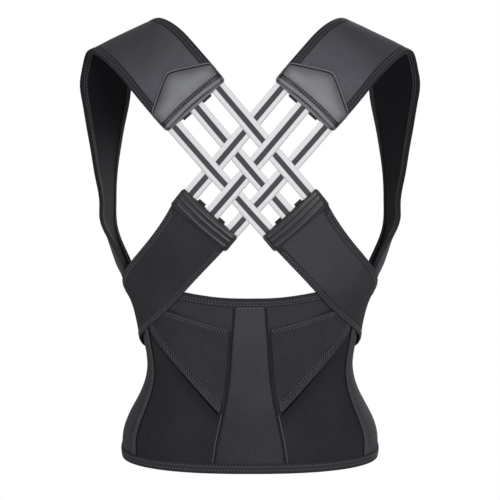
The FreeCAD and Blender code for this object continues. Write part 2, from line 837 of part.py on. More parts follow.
def flap_bindings(lift):
    """Top, hem and free-end bindings of a front flap."""
    end = FLAP_END - FLAP_END_CLEAR_ANGLE
    top = rim_binding(belt_top_any, -1.0, lift, FLAP_START, end, 25, TOP_BINDING_WIDTH)
    hem = rim_binding(flap_hem, 1.0, lift, FLAP_START, end, 25, HEM_BINDING_WIDTH)
    low = HEM_CLEAR + FLAP_HEM_LIFT + HEM_BINDING_WIDTH + END_CLEAR
    high = BELT_FRONT_HEIGHT - TOP_BINDING_WIDTH - END_CLEAR
    prof = u_profile(0.0, BELT_THICK, STRAP_BINDING_WIDTH, TAPE_THICK)
    sections = []
    for i in range(11):
        z = lerp(low, high, i / 10.0)
        deg = math.degrees(1.0 / form_point(180.0, z).y)
        ring = []
        for s, d in prof:
            phi = FLAP_END - s * deg
            ring.append(on_form(phi, z, d + lift(phi)))
        sections.append(ring)
    return Part.Compound([top, hem, tube(sections, CHANNEL_QUADS)])


PANEL_LOW = 26.0
PANEL_HIGH_DROP = 22.0


def fastening_panel(phi0, phi1, d0, d1, lift):
    """Hook or loop panel on a front flap between two angles."""
    def low(phi):
        return PANEL_LOW

    def high(phi):
        return BELT_FRONT_HEIGHT - PANEL_HIGH_DROP
    return flap_sheet(phi0, phi1, low, high, d0, d1, lift, 17, 9)


def front_strap_part(t0, t1, w0, w1, d0, d1, lift, nu, nv):
    """Part of the cross strap's front end; t along it, w the share of its width from the upper edge."""
    def place(u, v):
        t = lerp(t0, t1, u)
        a = along(FRONT_KEYS, FRONT_UP, t)
        b = along(FRONT_KEYS, FRONT_LOW, t)
        w = lerp(w0, w1, v)
        return lerp(a[0], b[0], w), lerp(a[1], b[1], w)

    def near(u, v):
        return d0 + lift(place(u, v)[0])

    def far(u, v):
        return d1 + lift(place(u, v)[0])
    return form_sheet(place, nu, nv, near, far)


def front_strap_parts(lift):
    """Strap end, hook tab under its tip, grip tab on its tip and the loop pad on the flap."""
    strap = front_strap_part(0.0, 1.0, 0.0, 1.0, D_CROSS, D_CROSS + CROSS_THICK, lift, 21, 7)
    hook = front_strap_part(0.55, 0.99, 0.1, 0.9, D_CROSS - GAP - HOOK_THICK, D_CROSS - GAP, lift, 15, 6)
    grip = front_strap_part(0.86, 1.08, 0.05, 0.95, D_CROSS + CROSS_THICK + GAP,
                            D_CROSS + CROSS_THICK + GAP + GRIP_THICK, lift, 9, 6)
    pad = front_strap_part(0.42, 1.12, 0.0, 1.0, D_ON_BELT, D_ON_BELT + HOOK_THICK, lift, 19, 8)
    return strap, hook, grip, pad


# ---------------------------------------------------------------- assembly
def build():
    nodes = {}
    center, back, side = belt_panels()
    nodes["back_center_panel"] = center
    top, hem = root_bindings()
    nodes["belt_top_binding"] = top
    nodes["belt_hem_binding"] = hem
    shell, lining, bindings = shoulder_parts()
    pairs = {
        "back_panel": back,
        "side_panel": side,
        "support_wing": support_wing(),
        "center_piping": center_piping(),
        "stay_channel": stay_channel(),
        "side_stay": side_stay(),
        "cross_strap": cross_strap(),
        "cross_strap_hems": cross_tapes(),
        "lower_tab": lower_tab(),
        "lower_tab_backing": lower_backing(),
        "upper_patch": upper_patch(),
        "upper_patch_backing": upper_backing(),
        "shoulder_strap": shell,
        "shoulder_lining": lining,
        "shoulder_bindings": bindings,
    }
    for name, shape in pairs.items():
        nodes[name + "_right"] = shape
        nodes[name + "_left"] = mirrored(shape)
    for k in range(3):
        nodes["elastic_band_a%d" % (k + 1)] = band(-1, k)
        nodes["elastic_band_b%d" % (k + 1)] = band(1, k)
    for name, lift in (("right", flap_lift), ("left", no_lift)):
        strap, hook, grip, pad = front_strap_parts(lift)
        parts = {"front_flap_": flap_panel(lift), "front_flap_bindings_": flap_bindings(lift),
                 "strap_end_": strap, "strap_hook_tab_": hook, "strap_grip_tab_": grip,
                 "strap_loop_pad_": pad}
        for key, shape in parts.items():
            nodes[key + name] = shape if name == "right" else mirrored(shape)
    edge = FLAP_END - math.degrees((STRAP_BINDING_WIDTH + 4.0 * GAP) / WAIST_FRONT_DEPTH)
    nodes["closure_loop_panel"] = mirrored(
        fastening_panel(LOOP_PANEL_START, edge, D_ON_BELT, D_ON_BELT + HOOK_THICK, no_lift))
    nodes["closure_hook_panel"] = fastening_panel(HOOK_PANEL_START, edge, -GAP - HOOK_THICK, -GAP, flap_lift)
    return nodes


def centered(nodes):
    """Move everything so the middle of the overall box stands on the origin."""
    box = FreeCAD.BoundBox()
    for shape in nodes.values():
        box.add(shape.optimalBoundingBox(False, False))
    shift = V(-box.Center.x, -box.Center.y, -box.ZMin)
    for shape in nodes.values():
        shape.translate(shift)
    return box, shift


def main():
    os.makedirs("parts", exist_ok=True)
    nodes = build()
    box, shift = centered(nodes)
    print("size", round(box.XLength, 2), round(box.YLength, 2), round(box.ZLength, 2), "shift", shift)
    for name, shape in sorted(nodes.items()):
        shape.exportStep(os.path.join("parts", name + ".step"))
    print(len(nodes), "nodes")


main()
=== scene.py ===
import math
import bpy
import numpy as np
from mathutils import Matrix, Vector


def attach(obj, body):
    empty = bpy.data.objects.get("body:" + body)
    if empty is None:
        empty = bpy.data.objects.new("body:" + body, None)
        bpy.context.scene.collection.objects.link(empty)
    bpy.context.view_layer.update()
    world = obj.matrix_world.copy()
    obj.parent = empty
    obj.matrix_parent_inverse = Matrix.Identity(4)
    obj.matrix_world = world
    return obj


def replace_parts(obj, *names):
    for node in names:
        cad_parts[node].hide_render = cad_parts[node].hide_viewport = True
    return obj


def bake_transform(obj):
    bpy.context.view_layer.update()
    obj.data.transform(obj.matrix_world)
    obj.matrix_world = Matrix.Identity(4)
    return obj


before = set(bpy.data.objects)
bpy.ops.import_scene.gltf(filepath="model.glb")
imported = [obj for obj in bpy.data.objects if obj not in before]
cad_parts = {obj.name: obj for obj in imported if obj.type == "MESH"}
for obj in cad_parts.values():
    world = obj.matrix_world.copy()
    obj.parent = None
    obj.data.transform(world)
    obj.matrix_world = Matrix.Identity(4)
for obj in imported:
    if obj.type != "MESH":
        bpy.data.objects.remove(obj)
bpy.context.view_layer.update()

bl_info = {
    "name": "Posture back brace",
    "version": (1, 0, 0),
    "blender": (4, 5, 0),
    "location": "View3D > Sidebar > Brace",
    "description": "Dresses a posture back brace: belt, wings, crossed straps, woven elastic and "
                   "shoulder straps",
    "category": "Object",
}

# ------------------------------------------------------------------ body form, millimetres
HEM_HALF_WIDTH = 167.0
WAIST_HALF_WIDTH = 134.0
RIB_HALF_WIDTH = 168.5
BACK_HALF_WIDTH = 188.0
HEM_BACK_DEPTH = 121.0
WAIST_BACK_DEPTH = 99.0
RIB_BACK_DEPTH = 116.0
BLADE_BACK_DEPTH = 126.0
TOP_BACK_DEPTH = 104.0
HEM_FRONT_DEPTH = 118.0
WAIST_FRONT_DEPTH = 92.0
RIB_FRONT_DEPTH = 105.0
FORM_POWER = 2.4
FORM_SHIFT_Y = 1.98

BELT_BACK_HEIGHT = 225.0
BELT_SIDE_RISE = 20.0
BELT_FRONT_HEIGHT = 165.0
HEM_CLEAR = 1.2
FLAP_HEM_LIFT = 1.2

GAP = 0.3
BUTT_ANGLE = 0.004
BELT_THICK = 2.4
WING_THICK = 1.3
TAPE_THICK = 0.7
CROSS_THICK = 2.2
STRAP_STACK = 2.9
LINING_THICK = 1.1
BAND_THICK = 1.2
BACKING_THICK = 1.2
LEATHER_THICK = 1.75
HOOK_THICK = 0.8
STRAP_WIDTH = 99.0
HINGE_ANGLE = 125.0
SEAM_ANGLE = 0.09
CENTER_TOP_ANGLE = 10.3
CENTER_HEM_ANGLE = 21.3
STAY_ANGLE = 70.0
FLAP_END = 195.0
D_ON_BELT = BELT_THICK + GAP
D_CROSS = D_ON_BELT + 2.2
D_BAND_END = BACKING_THICK + GAP
WEAVE_LIFT = BAND_THICK / 2.0 + 0.25
RIGHT_FLAP_LIFT = D_ON_BELT + HOOK_THICK * 2 + GAP + 0.4
STRAP_HALF = STRAP_WIDTH / 2.0 - GAP - TAPE_THICK

# ------------------------------------------------------------------ cloth and sewing, millimetres
RIM_ROUND = 0.9
RIM_THINNEST = 0.14
CLOTH_WAVE = 0.22
HEM_ROW_OUT = 2.0
HEM_ROW_IN = 1.6
HEM_TAPE_SHARE = 1.25
WING_HEM_SHARE = 1.5
UNDER_TOP_TAPE = 10.4


class Smooth:
    """Natural cubic spline that takes arrays."""

    def __init__(self, xs, ys):
        self.x = np.array(xs, float)
        self.y = np.array(ys, float)
        n = len(xs)
        h = np.diff(self.x)
        a = np.zeros((n, n))
        b = np.zeros(n)
        a[0, 0] = a[-1, -1] = 1.0
        for i in range(1, n - 1):
            a[i, i - 1:i + 2] = h[i - 1], 2.0 * (h[i - 1] + h[i]), h[i]
            b[i] = 6.0 * ((self.y[i + 1] - self.y[i]) / h[i] - (self.y[i] - self.y[i - 1]) / h[i - 1])
        self.m = np.linalg.solve(a, b)

    def __call__(self, x):
        x = np.asarray(x, float)
        i = np.clip(np.searchsorted(self.x, x) - 1, 0, len(self.x) - 2)
        h = self.x[i + 1] - self.x[i]
        t = x - self.x[i]
        m0, m1 = self.m[i], self.m[i + 1]
        slope = (self.y[i + 1] - self.y[i]) / h - h * (2.0 * m0 + m1) / 6.0
        return self.y[i] + t * slope + t * t * m0 / 2.0 + t ** 3 * (m1 - m0) / (6.0 * h)


def lerp(a, b, t):
    return a + (b - a) * t


def ease(t):
    t = np.clip(t, 0.0, 1.0)
    return t * t * (3.0 - 2.0 * t)


FORM_Z = [0.0, 35.0, 78.0, 121.0, 160.0, 210.0, 250.0, 285.0, 350.0, 450.0, 540.0]


def level_table(hem, waist, rib, upper):
    """Values of the form at the heights of FORM_Z, from three driving values and the upper ones."""
    out = [lerp(waist, hem, k) for k in (1.0, 0.97, 0.36, 0.0)]
    out += [lerp(waist, rib, k) for k in (0.15, 0.48, 1.0)]
    return out + upper


FORM_A = Smooth(FORM_Z, level_table(
    HEM_HALF_WIDTH, WAIST_HALF_WIDTH, RIB_HALF_WIDTH,
    [lerp(RIB_HALF_WIDTH, BACK_HALF_WIDTH, 0.5), BACK_HALF_WIDTH, BACK_HALF_WIDTH + 5.0,
     BACK_HALF_WIDTH + 8.0]))
FORM_BACK = Smooth(FORM_Z, level_table(
    HEM_BACK_DEPTH, WAIST_BACK_DEPTH, RIB_BACK_DEPTH,
    [lerp(RIB_BACK_DEPTH, BLADE_BACK_DEPTH, 0.5), BLADE_BACK_DEPTH + 1.0, BLADE_BACK_DEPTH - 4.0,
     TOP_BACK_DEPTH]))
FORM_FRONT = Smooth(FORM_Z, level_table(
    HEM_FRONT_DEPTH, WAIST_FRONT_DEPTH, RIB_FRONT_DEPTH,
    [RIB_FRONT_DEPTH + 3.0, RIB_FRONT_DEPTH + 6.0, RIB_FRONT_DEPTH + 7.0, RIB_FRONT_DEPTH + 7.0]))


def form_point(phi, z):
    """Points on the body form; phi in degrees from the middle of the back, +90 at +X."""
    phi, z = np.broadcast_arrays(np.asarray(phi, float), np.asarray(z, float))
    a, back, front = FORM_A(z), FORM_BACK(z), FORM_FRONT(z)
    b = (front + back) / 2.0
    s, c = np.sin(np.radians(phi)), np.cos(np.radians(phi))
    r = (np.abs(s / a) ** FORM_POWER + np.abs(c / b) ** FORM_POWER) ** (-1.0 / FORM_POWER)
    return np.stack([r * s, (front - back) / 2.0 - r * c, z], -1)


def unit(v):
    return v / np.maximum(np.linalg.norm(v, axis=-1, keepdims=True), 1e-9)


def form_base(phi, z):
    """Points of the form with their outward normals."""
    phi, z = np.broadcast_arrays(np.asarray(phi, float), np.asarray(z, float))
    across = form_point(phi + 0.3, z) - form_point(phi - 0.3, z)
    rise = form_point(phi, z + 1.0) - form_point(phi, z - 1.0)
    return form_point(phi, z), unit(np.cross(across, rise))


def phi_of_x(x, z):
    """Angle on the back of the form at which its x is reached, found by halving."""
    x, z = np.broadcast_arrays(np.asarray(x, float), np.asarray(z, float))
    lo, hi = np.full(x.shape, -89.0), np.full(x.shape, 89.0)
    for _ in range(32):
        mid = (lo + hi) / 2.0
        under = form_point(mid, z)[..., 0] < x
        lo, hi = np.where(under, mid, lo), np.where(under, hi, mid)
    return (lo + hi) / 2.0


# ------------------------------------------------------------------ edge lines of the belt
TOP_LINE = Smooth(
    [0.0, 20.0, 41.0, 60.0, 75.0, 95.0, 111.0, 135.0, 158.0, 180.0],
    [BELT_BACK_HEIGHT - 1.0, BELT_BACK_HEIGHT, BELT_BACK_HEIGHT + 0.3 * BELT_SIDE_RISE,
     BELT_BACK_HEIGHT + 0.72 * BELT_SIDE_RISE, BELT_BACK_HEIGHT + BELT_SIDE_RISE,
     BELT_BACK_HEIGHT + BELT_SIDE_RISE, lerp(BELT_FRONT_HEIGHT, BELT_BACK_HEIGHT + BELT_SIDE_RISE, 0.86),
     lerp(BELT_FRONT_HEIGHT, BELT_BACK_HEIGHT + BELT_SIDE_RISE, 0.36), BELT_FRONT_HEIGHT + 1.5,
     BELT_FRONT_HEIGHT])
STAY_LINE = Smooth([0.0, 46.0, 110.0, 165.0, 250.0],
                   [STAY_ANGLE + k for k in (-5.0, -2.8, 0.2, 0.9, 0.7)])


def belt_top(phi):
    """Height of the belt's top edge, the same on both sides."""
    phi = np.abs(phi)
    return TOP_LINE(np.where(phi > 180.0, 360.0 - phi, phi))


def center_edge(z):
    """Angle of the seam beside the center panel."""
    return lerp(CENTER_HEM_ANGLE, CENTER_TOP_ANGLE, np.asarray(z) / BELT_BACK_HEIGHT)


def flap_lift(phi):
    """How far the right flap rises to lie over the left one."""
    return RIGHT_FLAP_LIFT * ease((np.asarray(phi) - 148.0) / 14.0)


def no_lift(phi):
    return np.zeros(np.shape(phi))


# ------------------------------------------------------------------ mesh making
def ticks(length, step, marks=()):
    """Places from 0 to 1 along a piece's rough length, closer at its rounded ends and marked lines."""
    fine = [0.0, length]
    for k in (0.1, 0.35, 0.7, 1.2):
        fine += [k * RIM_ROUND, length - k * RIM_ROUND]
    for place, half in marks:
        fine += [place + half * k for k in (-1.0, -0.5, 0.0, 0.5, 1.0)]
    fine = sorted(p for p in set(fine) if 0.0 <= p <= length)
    out = [fine[0]]
    for p in fine[1:]:
        if p - out[-1] > 0.05:
            out.append(p)
    out[-1] = length
    full = []
    for a, b in zip(out, out[1:]):
        n = max(1, int(math.ceil((b - a) / step)))
        full += list(np.linspace(a, b, n + 1)[:-1])
    full.append(length)
    return np.array(full) / length


class Cloth:
    """Collects the faces of one piece in millimetres and makes its object in metres."""

    def __init__(self, name):
        self.name = name
        self.points, self.faces, self.mats, self.uvs, self.shades = [], [], [], [], []
        self.count = 0

    def add(self, points, faces, mat, uv, shade=None):
        points = np.asarray(points, float).reshape(-1, 3)
        self.points.append(points)
        self.shades.append(np.zeros(len(points)) if shade is None else np.asarray(shade, float).ravel())
        self.uvs.append(np.asarray(uv, float).reshape(-1, 2))
        for block in faces:
            self.faces += (np.asarray(block) + self.count).tolist()
            self.mats += [mat] * len(block)
        self.count += len(points)

    def make(self, materials, mirror=False):
        co = np.concatenate(self.points)
        uv = np.concatenate(self.uvs)
        faces = self.faces
        if mirror:
            co = co * np.array([-1.0, 1.0, 1.0])
            faces = [f[::-1] for f in faces]
        co = (co + np.array([0.0, FORM_SHIFT_Y, 0.0])) * 0.001
        mesh = bpy.data.meshes.new(self.name)
        mesh.from_pydata(co.tolist(), [], faces)
        for m in materials:
            mesh.materials.append(m)
        mesh.polygons.foreach_set("material_index", self.mats)
        mesh.polygons.foreach_set("use_smooth", [True] * len(mesh.polygons))
        layer = mesh.uv_layers.new(name="Cloth")
        loops = np.empty(len(mesh.loops), int)
        mesh.loops.foreach_get("vertex_index", loops)
        layer.data.foreach_set("uv", uv[loops].astype(np.float32).ravel())
        shades = np.concatenate(self.shades).astype(np.float32)
        if np.any(shades):
            mesh.attributes.new("Shade", "FLOAT", "POINT").data.foreach_set("value", shades)
        mesh.validate()
        mesh.update()
        obj = bpy.data.objects.new(self.name, mesh)
        bpy.context.scene.collection.objects.link(obj)
        return obj


def grid_faces(nu, nv, start=0, flip=False):
    """Four-sided faces over a grid of nu by nv points."""
    i, j = np.meshgrid(np.arange(nu - 1), np.arange(nv - 1), indexing="ij")
    a = (start + i * nv + j).ravel()
    quads = np.stack([a, a + nv, a + nv + 1, a + 1], -1)
    return quads[:, ::-1] if flip else quads


def lay_sheet(cloth, base, us, vs, low, high, relief=None, edge=RIM_ROUND, soft=(1, 1, 1, 1),
              mats=(0, 0), shade=None):
    """Closed sheet on base(U, V); its rims are rounded where soft says so.

    relief(S, T, LS, LT) shapes the outer face and shade(S, T, LS, LT) marks it darker (above 0) or
    paler (below 0), mostly painted shade and painted highlights; S and T are distances in millimetres along
    the two directions.
    """
    U, V = np.meshgrid(us, vs, indexing="ij")
    P, N = base(U, V)
    S = np.zeros(U.shape)
    T = np.zeros(U.shape)
    S[1:] = np.cumsum(np.linalg.norm(np.diff(P, axis=0), axis=-1), axis=0)
    T[:, 1:] = np.cumsum(np.linalg.norm(np.diff(P, axis=1), axis=-1), axis=1)
    LS, LT = S[-1:, :] + 0 * S, T[:, -1:] + 0 * T
    far = 1e6
    e = np.minimum(np.minimum(S if soft[0] else far, (LS - S) if soft[1] else far),
                   np.minimum(T if soft[2] else far, (LT - T) if soft[3] else far))
    f = np.sqrt(np.clip(1.0 - (1.0 - np.clip(e / edge, 0.0, 1.0)) ** 2, 0.0, 1.0))
    f = np.maximum(f, RIM_THINNEST)
    lo = low(U, V) if callable(low) else low + 0 * U
    hi = high(U, V) if callable(high) else high + 0 * U
    mid, half = (lo + hi) / 2.0, (hi - lo) / 2.0
    top = mid + half * f
    if relief is not None:
        top = top + relief(S, T, LS, LT) * f
    outer = P + N * top[..., None]
    inner = P + N * (mid - half * f)[..., None]
    nu, nv = U.shape
    c0, c1 = nu // 2, nv // 2
    sense = np.cross(P[c0 + 1, c1] - P[c0, c1], P[c0, c1 + 1] - P[c0, c1]) @ N[c0, c1]
    flip = sense < 0
    n = nu * nv
    rim = np.concatenate([np.arange(nv - 1), nv - 1 + nv * np.arange(nu - 1),
                          nu * nv - 1 - np.arange(nv - 1), nv * (nu - 1) - nv * np.arange(nu - 1)])
    nxt = np.roll(rim, -1)
    sides = np.stack([rim, nxt, nxt + n, rim + n], -1)
    if flip:
        sides = sides[:, ::-1]
    uv = np.stack([S, T], -1) * 0.001
    marks = np.zeros(2 * n)
    if shade is not None:
        marks[:n] = np.clip(shade(S, T, LS, LT), -1.0, 1.0).ravel()
    cloth.add(np.concatenate([outer.reshape(-1, 3), inner.reshape(-1, 3)]),
              [grid_faces(nu, nv, 0, flip), sides], mats[0], np.concatenate([uv.reshape(-1, 2)] * 2), marks)
    cloth.faces += (grid_faces(nu, nv, n, not flip) + cloth.count - 2 * n).tolist()
    cloth.mats += [mats[1]] * ((nu - 1) * (nv - 1))
    area = float(np.sum(np.linalg.norm(np.cross(P[1:, :-1] - P[:-1, :-1], P[:-1, 1:] - P[:-1, :-1]),
                                       axis=-1)))
    return {"outer": outer, "inner": inner, "normal": N, "S": S, "T": T, "area": area * 1e-6,
            "flat": (float(T.max()) * 1e-3, float(S.max()) * 1e-3)}


def sweep(cloth, base, us, section, mat=0, shade=None):
    """Section of (t, d) corners carried along base(u, t), closed at both ends and shaded by shade(u)."""
    sec = np.array(section, float)
    U, T = np.meshgrid(us, sec[:, 0], indexing="ij")
    P, N = base(U, T)
    ring = P + N * sec[None, :, 1:2]
    nu, k = U.shape
    i, j = np.meshgrid(np.arange(nu - 1), np.arange(k), indexing="ij")
    a = (i * k + j).ravel()
    b = (i * k + (j + 1) % k).ravel()
    quads = np.stack([a, b, b + k, a + k], -1)
    loop = ring[nu // 2]
    centre = loop.mean(0)
    area = sum(np.cross(loop[m] - centre, loop[(m + 1) % k] - centre) for m in range(k))
    flip = area @ (ring[nu // 2 + 1].mean(0) - centre) < 0
    along = np.concatenate([[0.0], np.cumsum(np.linalg.norm(np.diff(ring[:, 0], axis=0), axis=-1))])
    around = np.concatenate([[0.0], np.cumsum(np.linalg.norm(np.diff(sec, axis=0), axis=-1))])
    uv = np.stack(np.meshgrid(along, around, indexing="ij"), -1) * 0.001
    cloth.add(ring, [quads[:, ::-1] if flip else quads], mat, uv,
              None if shade is None else np.repeat(shade(np.asarray(us)), k))
    first = [cloth.count - nu * k + m for m in range(k)]
    last = [cloth.count - k + m for m in range(k)]
    cloth.faces += [first, last[::-1]] if flip else [first[::-1], last]
    cloth.mats += [mat, mat]


def cord(t, d, radius):
    """Section of a round cord with its middle at (t, d)."""
    return [(t + radius * math.cos(a), d + radius * math.sin(a))
            for a in np.linspace(0.0, 2.0 * math.pi, 8, endpoint=False)]


def stitches(cloth, path, normals, mat, pitch, length, radius, offset=0.0, sink=0.25):
    """Row of separate thread stitches along a line of points."""
    seg = np.linalg.norm(np.diff(path, axis=0), axis=-1)
    s = np.concatenate([[0.0], np.cumsum(seg)])
    n = int(s[-1] / pitch)
    if n < 2:
        return
    at = (np.arange(n) + 0.5 + offset) * s[-1] / n
    at = at[at < s[-1] - 0.2 * pitch]

    def sample(arr, q):
        return np.stack([np.interp(q, s, arr[:, c]) for c in range(3)], -1)
    p = sample(path, at)
    t = unit(sample(path, np.minimum(at + 0.6, s[-1])) - sample(path, np.maximum(at - 0.6, 0.0)))
    nrm = sample(normals, at)
    nrm = unit(nrm - t * np.sum(nrm * t, -1, keepdims=True))
    b = np.cross(nrm, t)
    sides = 5
    rings = [(-0.5, 0.25), (-0.36, 0.85), (0.0, 1.0), (0.36, 0.85), (0.5, 0.25)]
    local = []
    for x, r in rings:
        for k in range(sides):
            a = 2.0 * math.pi * k / sides
            local.append((x * length, r * radius * math.cos(a), r * radius * math.sin(a)))
    local = np.array(local)
    pts = (p[:, None] + t[:, None] * local[None, :, 0:1] + b[:, None] * local[None, :, 1:2]
           + nrm[:, None] * (local[None, :, 2:3] + radius * sink))
    quads = []
    for m in range(len(rings) - 1):
        for k in range(sides):
            a0, a1 = m * sides + k, m * sides + (k + 1) % sides
            quads.append((a0, a1, a1 + sides, a0 + sides))
    quads = np.array(quads)[:, ::-1]
    last = (len(rings) - 1) * sides
    caps = np.array([list(range(sides)), [last + k for k in range(sides)][::-1]])
    m = len(local)
    step = (np.arange(len(p)) * m)[:, None, None]
    cloth.add(pts, [(quads[None] + step).reshape(-1, 4), (caps[None] + step).reshape(-1, sides)], mat,
              np.zeros((len(p) * m, 2)))


# ------------------------------------------------------------------ materials
def linear(r, g, b):
    """Colour as it looks on a screen, 0 to 255, to linear light."""
    out = []
    for c in (r, g, b):
        c = c / 255.0
        out.append(c / 12.92 if c <= 0.04045 else ((c + 0.055) / 1.055) ** 2.4)
    return tuple(out)


def toned(colour, share):
    """The same colour made darker, or paler up to white."""
    return tuple(min(1.0, c * share) for c in colour)


class Nodes:
    """Short way to write a material's node tree."""

    def __init__(self, name):
        self.mat = bpy.data.materials.new(name)
        self.mat.use_nodes = True
        self.tree = self.mat.node_tree
        self.shader = next(n for n in self.tree.nodes if n.type == "BSDF_PRINCIPLED")

    def new(self, kind, **values):
        n = self.tree.nodes.new(kind)
        for k, v in values.items():
            if k in n.inputs:
                n.inputs[k].default_value = v
            else:
                setattr(n, k, v)
        return n

    def link(self, a, b):
        self.tree.links.new(a, b)

    def math(self, op, a, b=None, c=None):
        n = self.tree.nodes.new("ShaderNodeMath")
        n.operation = op
        for i, v in enumerate((a, b, c)):
            if v is None:
                continue
            if isinstance(v, (int, float)):
                n.inputs[i].default_value = v
            else:
                self.link(v, n.inputs[i])
        return n.outputs[0]

    def uv(self):
        n = self.new("ShaderNodeUVMap")
        n.uv_map = "Cloth"
        sep = self.new("ShaderNodeSeparateXYZ")
        self.link(n.outputs[0], sep.inputs[0])
        return sep.outputs[0], sep.outputs[1]

    def wave(self, coord, pitch):
        """Sine along a coordinate, from 0 to 1."""
        turns = self.math("MULTIPLY", coord, 2 * math.pi / pitch)
        return self.math("MULTIPLY_ADD", self.math("SINE", turns), 0.5, 0.5)

    def noise(self, scale, detail=2.0, rough=0.5):
        n = self.new("ShaderNodeTexNoise", Scale=scale, Detail=detail, Roughness=rough)
        self.link(self.new("ShaderNodeTexCoord").outputs["Object"], n.inputs["Vector"])
        return n.outputs["Fac"]

    def mix(self, fac, a, b):
        n = self.tree.nodes.new("ShaderNodeMix")
        n.data_type = "RGBA"
        for sock, v in ((n.inputs[0], fac), (n.inputs[6], a), (n.inputs[7], b)):
            if isinstance(v, (int, float)):
                sock.default_value = v
            elif isinstance(v, tuple):
                sock.default_value = (*v[:3], 1.0)
            else:
                self.link(v, sock)
        return n.outputs[2]

    def marked(self, face, dark, pale):
        """Face colour, darker where the piece's Shade is above 0 and paler where it is below."""
        mark = self.new("ShaderNodeAttribute", attribute_name="Shade").outputs["Fac"]
        face = self.mix(self.math("MAXIMUM", mark, 0.0), face, dark)
        return self.mix(self.math("MAXIMUM", self.math("MULTIPLY", mark, -1.0), 0.0), face, pale)

    def ramp(self, fac, stops):
        n = self.new("ShaderNodeValToRGB")
        while len(n.color_ramp.elements) < len(stops):
            n.color_ramp.elements.new(0.5)
        for e, (pos, val) in zip(n.color_ramp.elements, stops):
            e.position = pos
            e.color = (val, val, val, 1.0)
        self.link(fac, n.inputs[0])
        return n.outputs[0]

    def bump(self, height, strength, distance):
        n = self.new("ShaderNodeBump", Strength=strength, Distance=distance)
        self.link(height, n.inputs["Height"])
        self.link(n.outputs[0], self.shader.inputs["Normal"])


def knit(name, colour, pitch_u=0.0016, pitch_v=0.0011, depth=0.00025, rough=0.85, sheen=0.06,
         spread=0.32, light=1.38):
    """Elastic knit: small loops in rows, slight fuzz, uneven dye, and colour darker or paler where the
    piece's Shade marks it, mostly painted shade and painted highlights.
    """
    n = Nodes(name)
    u, v = n.uv()
    wob = n.math("MULTIPLY", n.noise(260.0, 2.0), pitch_u * 1.2)
    rows = n.wave(n.math("ADD", u, wob), pitch_u)
    cols = n.wave(v, pitch_v)
    loops = n.math("MULTIPLY", rows, cols)
    fuzz = n.noise(2400.0, 2.0, 0.7)
    height = n.math("ADD", loops, n.math("MULTIPLY", fuzz, 0.6))
    n.bump(height, 0.75, depth)
    patchy = n.noise(17.0, 3.0)
    slub = n.noise(340.0, 3.0, 0.65)
    tone = n.math("ADD", n.math("MULTIPLY", loops, 0.3), n.math("MULTIPLY", patchy, 0.3))
    tone = n.math("ADD", tone, n.math("MULTIPLY", slub, 0.4))
    dark = toned(colour, 1.0 - spread)
    pale = toned(colour, light)
    face = n.mix(n.ramp(tone, [(0.3, 0.0), (0.62, 1.0)]), dark, pale)
    # darker where the Shade attribute marks painted shade, paler where it marks painted highlights and, on
    # the back panels, the paler tone above the wing seam
    n.link(n.marked(face, toned(colour, 0.4), toned(colour, 2.1)),
           n.shader.inputs["Base Color"])
    n.link(n.math("MULTIPLY_ADD", fuzz, 0.15, rough - 0.1), n.shader.inputs["Roughness"])
    n.shader.inputs["Sheen Weight"].default_value = sheen
    n.shader.inputs["Sheen Roughness"].default_value = 0.45
    n.shader.inputs["Specular IOR Level"].default_value = 0.16
    return n.mat


def tape(name, colour, pitch=0.0009, rough=0.8, depth=0.0002):
    """Folded knit tape with fine ribs along it."""
    n = Nodes(name)
    u, v = n.uv()
    ribs = n.wave(v, pitch)
    cross = n.wave(u, pitch * 1.5)
    fuzz = n.noise(2600.0, 2.0, 0.7)
    height = n.math("ADD", n.math("MULTIPLY_ADD", cross, 0.4, ribs), n.math("MULTIPLY", fuzz, 0.5))
    n.bump(height, 0.7, depth)
    tone = n.math("MULTIPLY", n.math("ADD", ribs, n.noise(60.0, 3.0)), 0.5)
    face = n.mix(tone, toned(colour, 0.72), toned(colour, 1.3))
    # darker where the Shade attribute marks painted shade
    n.link(n.marked(face, toned(colour, 0.35), colour), n.shader.inputs["Base Color"])
    n.shader.inputs["Roughness"].default_value = rough
    n.shader.inputs["Sheen Weight"].default_value = 0.05
    n.shader.inputs["Specular IOR Level"].default_value = 0.16
    return n.mat


def grain(name, colour, cell=0.0011, rough=0.38, depth=0.0002, wear=1.45, folds=0.8, speck_and_highlight=1.35):
    """Artificial leather: fine pebbled grain and creases, with painted shade in stitched grooves and painted
    highlights on high spots where the piece's Shade marks them.
    """
    n = Nodes(name)
    coord = n.new("ShaderNodeTexCoord").outputs["Object"]
    cells = n.new("ShaderNodeTexVoronoi", Scale=1.0 / cell, feature="DISTANCE_TO_EDGE")
    n.link(coord, cells.inputs["Vector"])
    pebble = n.ramp(cells.outputs["Distance"], [(0.0, 0.0), (0.18, 1.0)])
    crease = n.noise(140.0, 4.0, 0.65)
    fine = n.noise(3200.0, 2.0, 0.6)
    height = n.math("ADD", n.math("MULTIPLY_ADD", crease, folds, pebble), n.math("MULTIPLY", fine, 0.25))
    n.bump(height, 0.6, depth)
    tone = n.math("ADD", n.math("MULTIPLY", pebble, 0.3), n.math("MULTIPLY", n.noise(45.0, 4.0), 0.7))
    face = n.mix(n.ramp(tone, [(0.25, 0.0), (0.8, 1.0)]), toned(colour, 0.82),
                 toned(colour, wear))
    # mostly painted shade where the Shade attribute is above 0, painted highlights where it is below
    n.link(n.marked(face, toned(colour, 0.12), toned(colour, speck_and_highlight)),
           n.shader.inputs["Base Color"])
    n.link(n.math("MULTIPLY_ADD", crease, 0.22, rough - 0.1), n.shader.inputs["Roughness"])
    n.shader.inputs["Specular IOR Level"].default_value = 0.4
    return n.mat


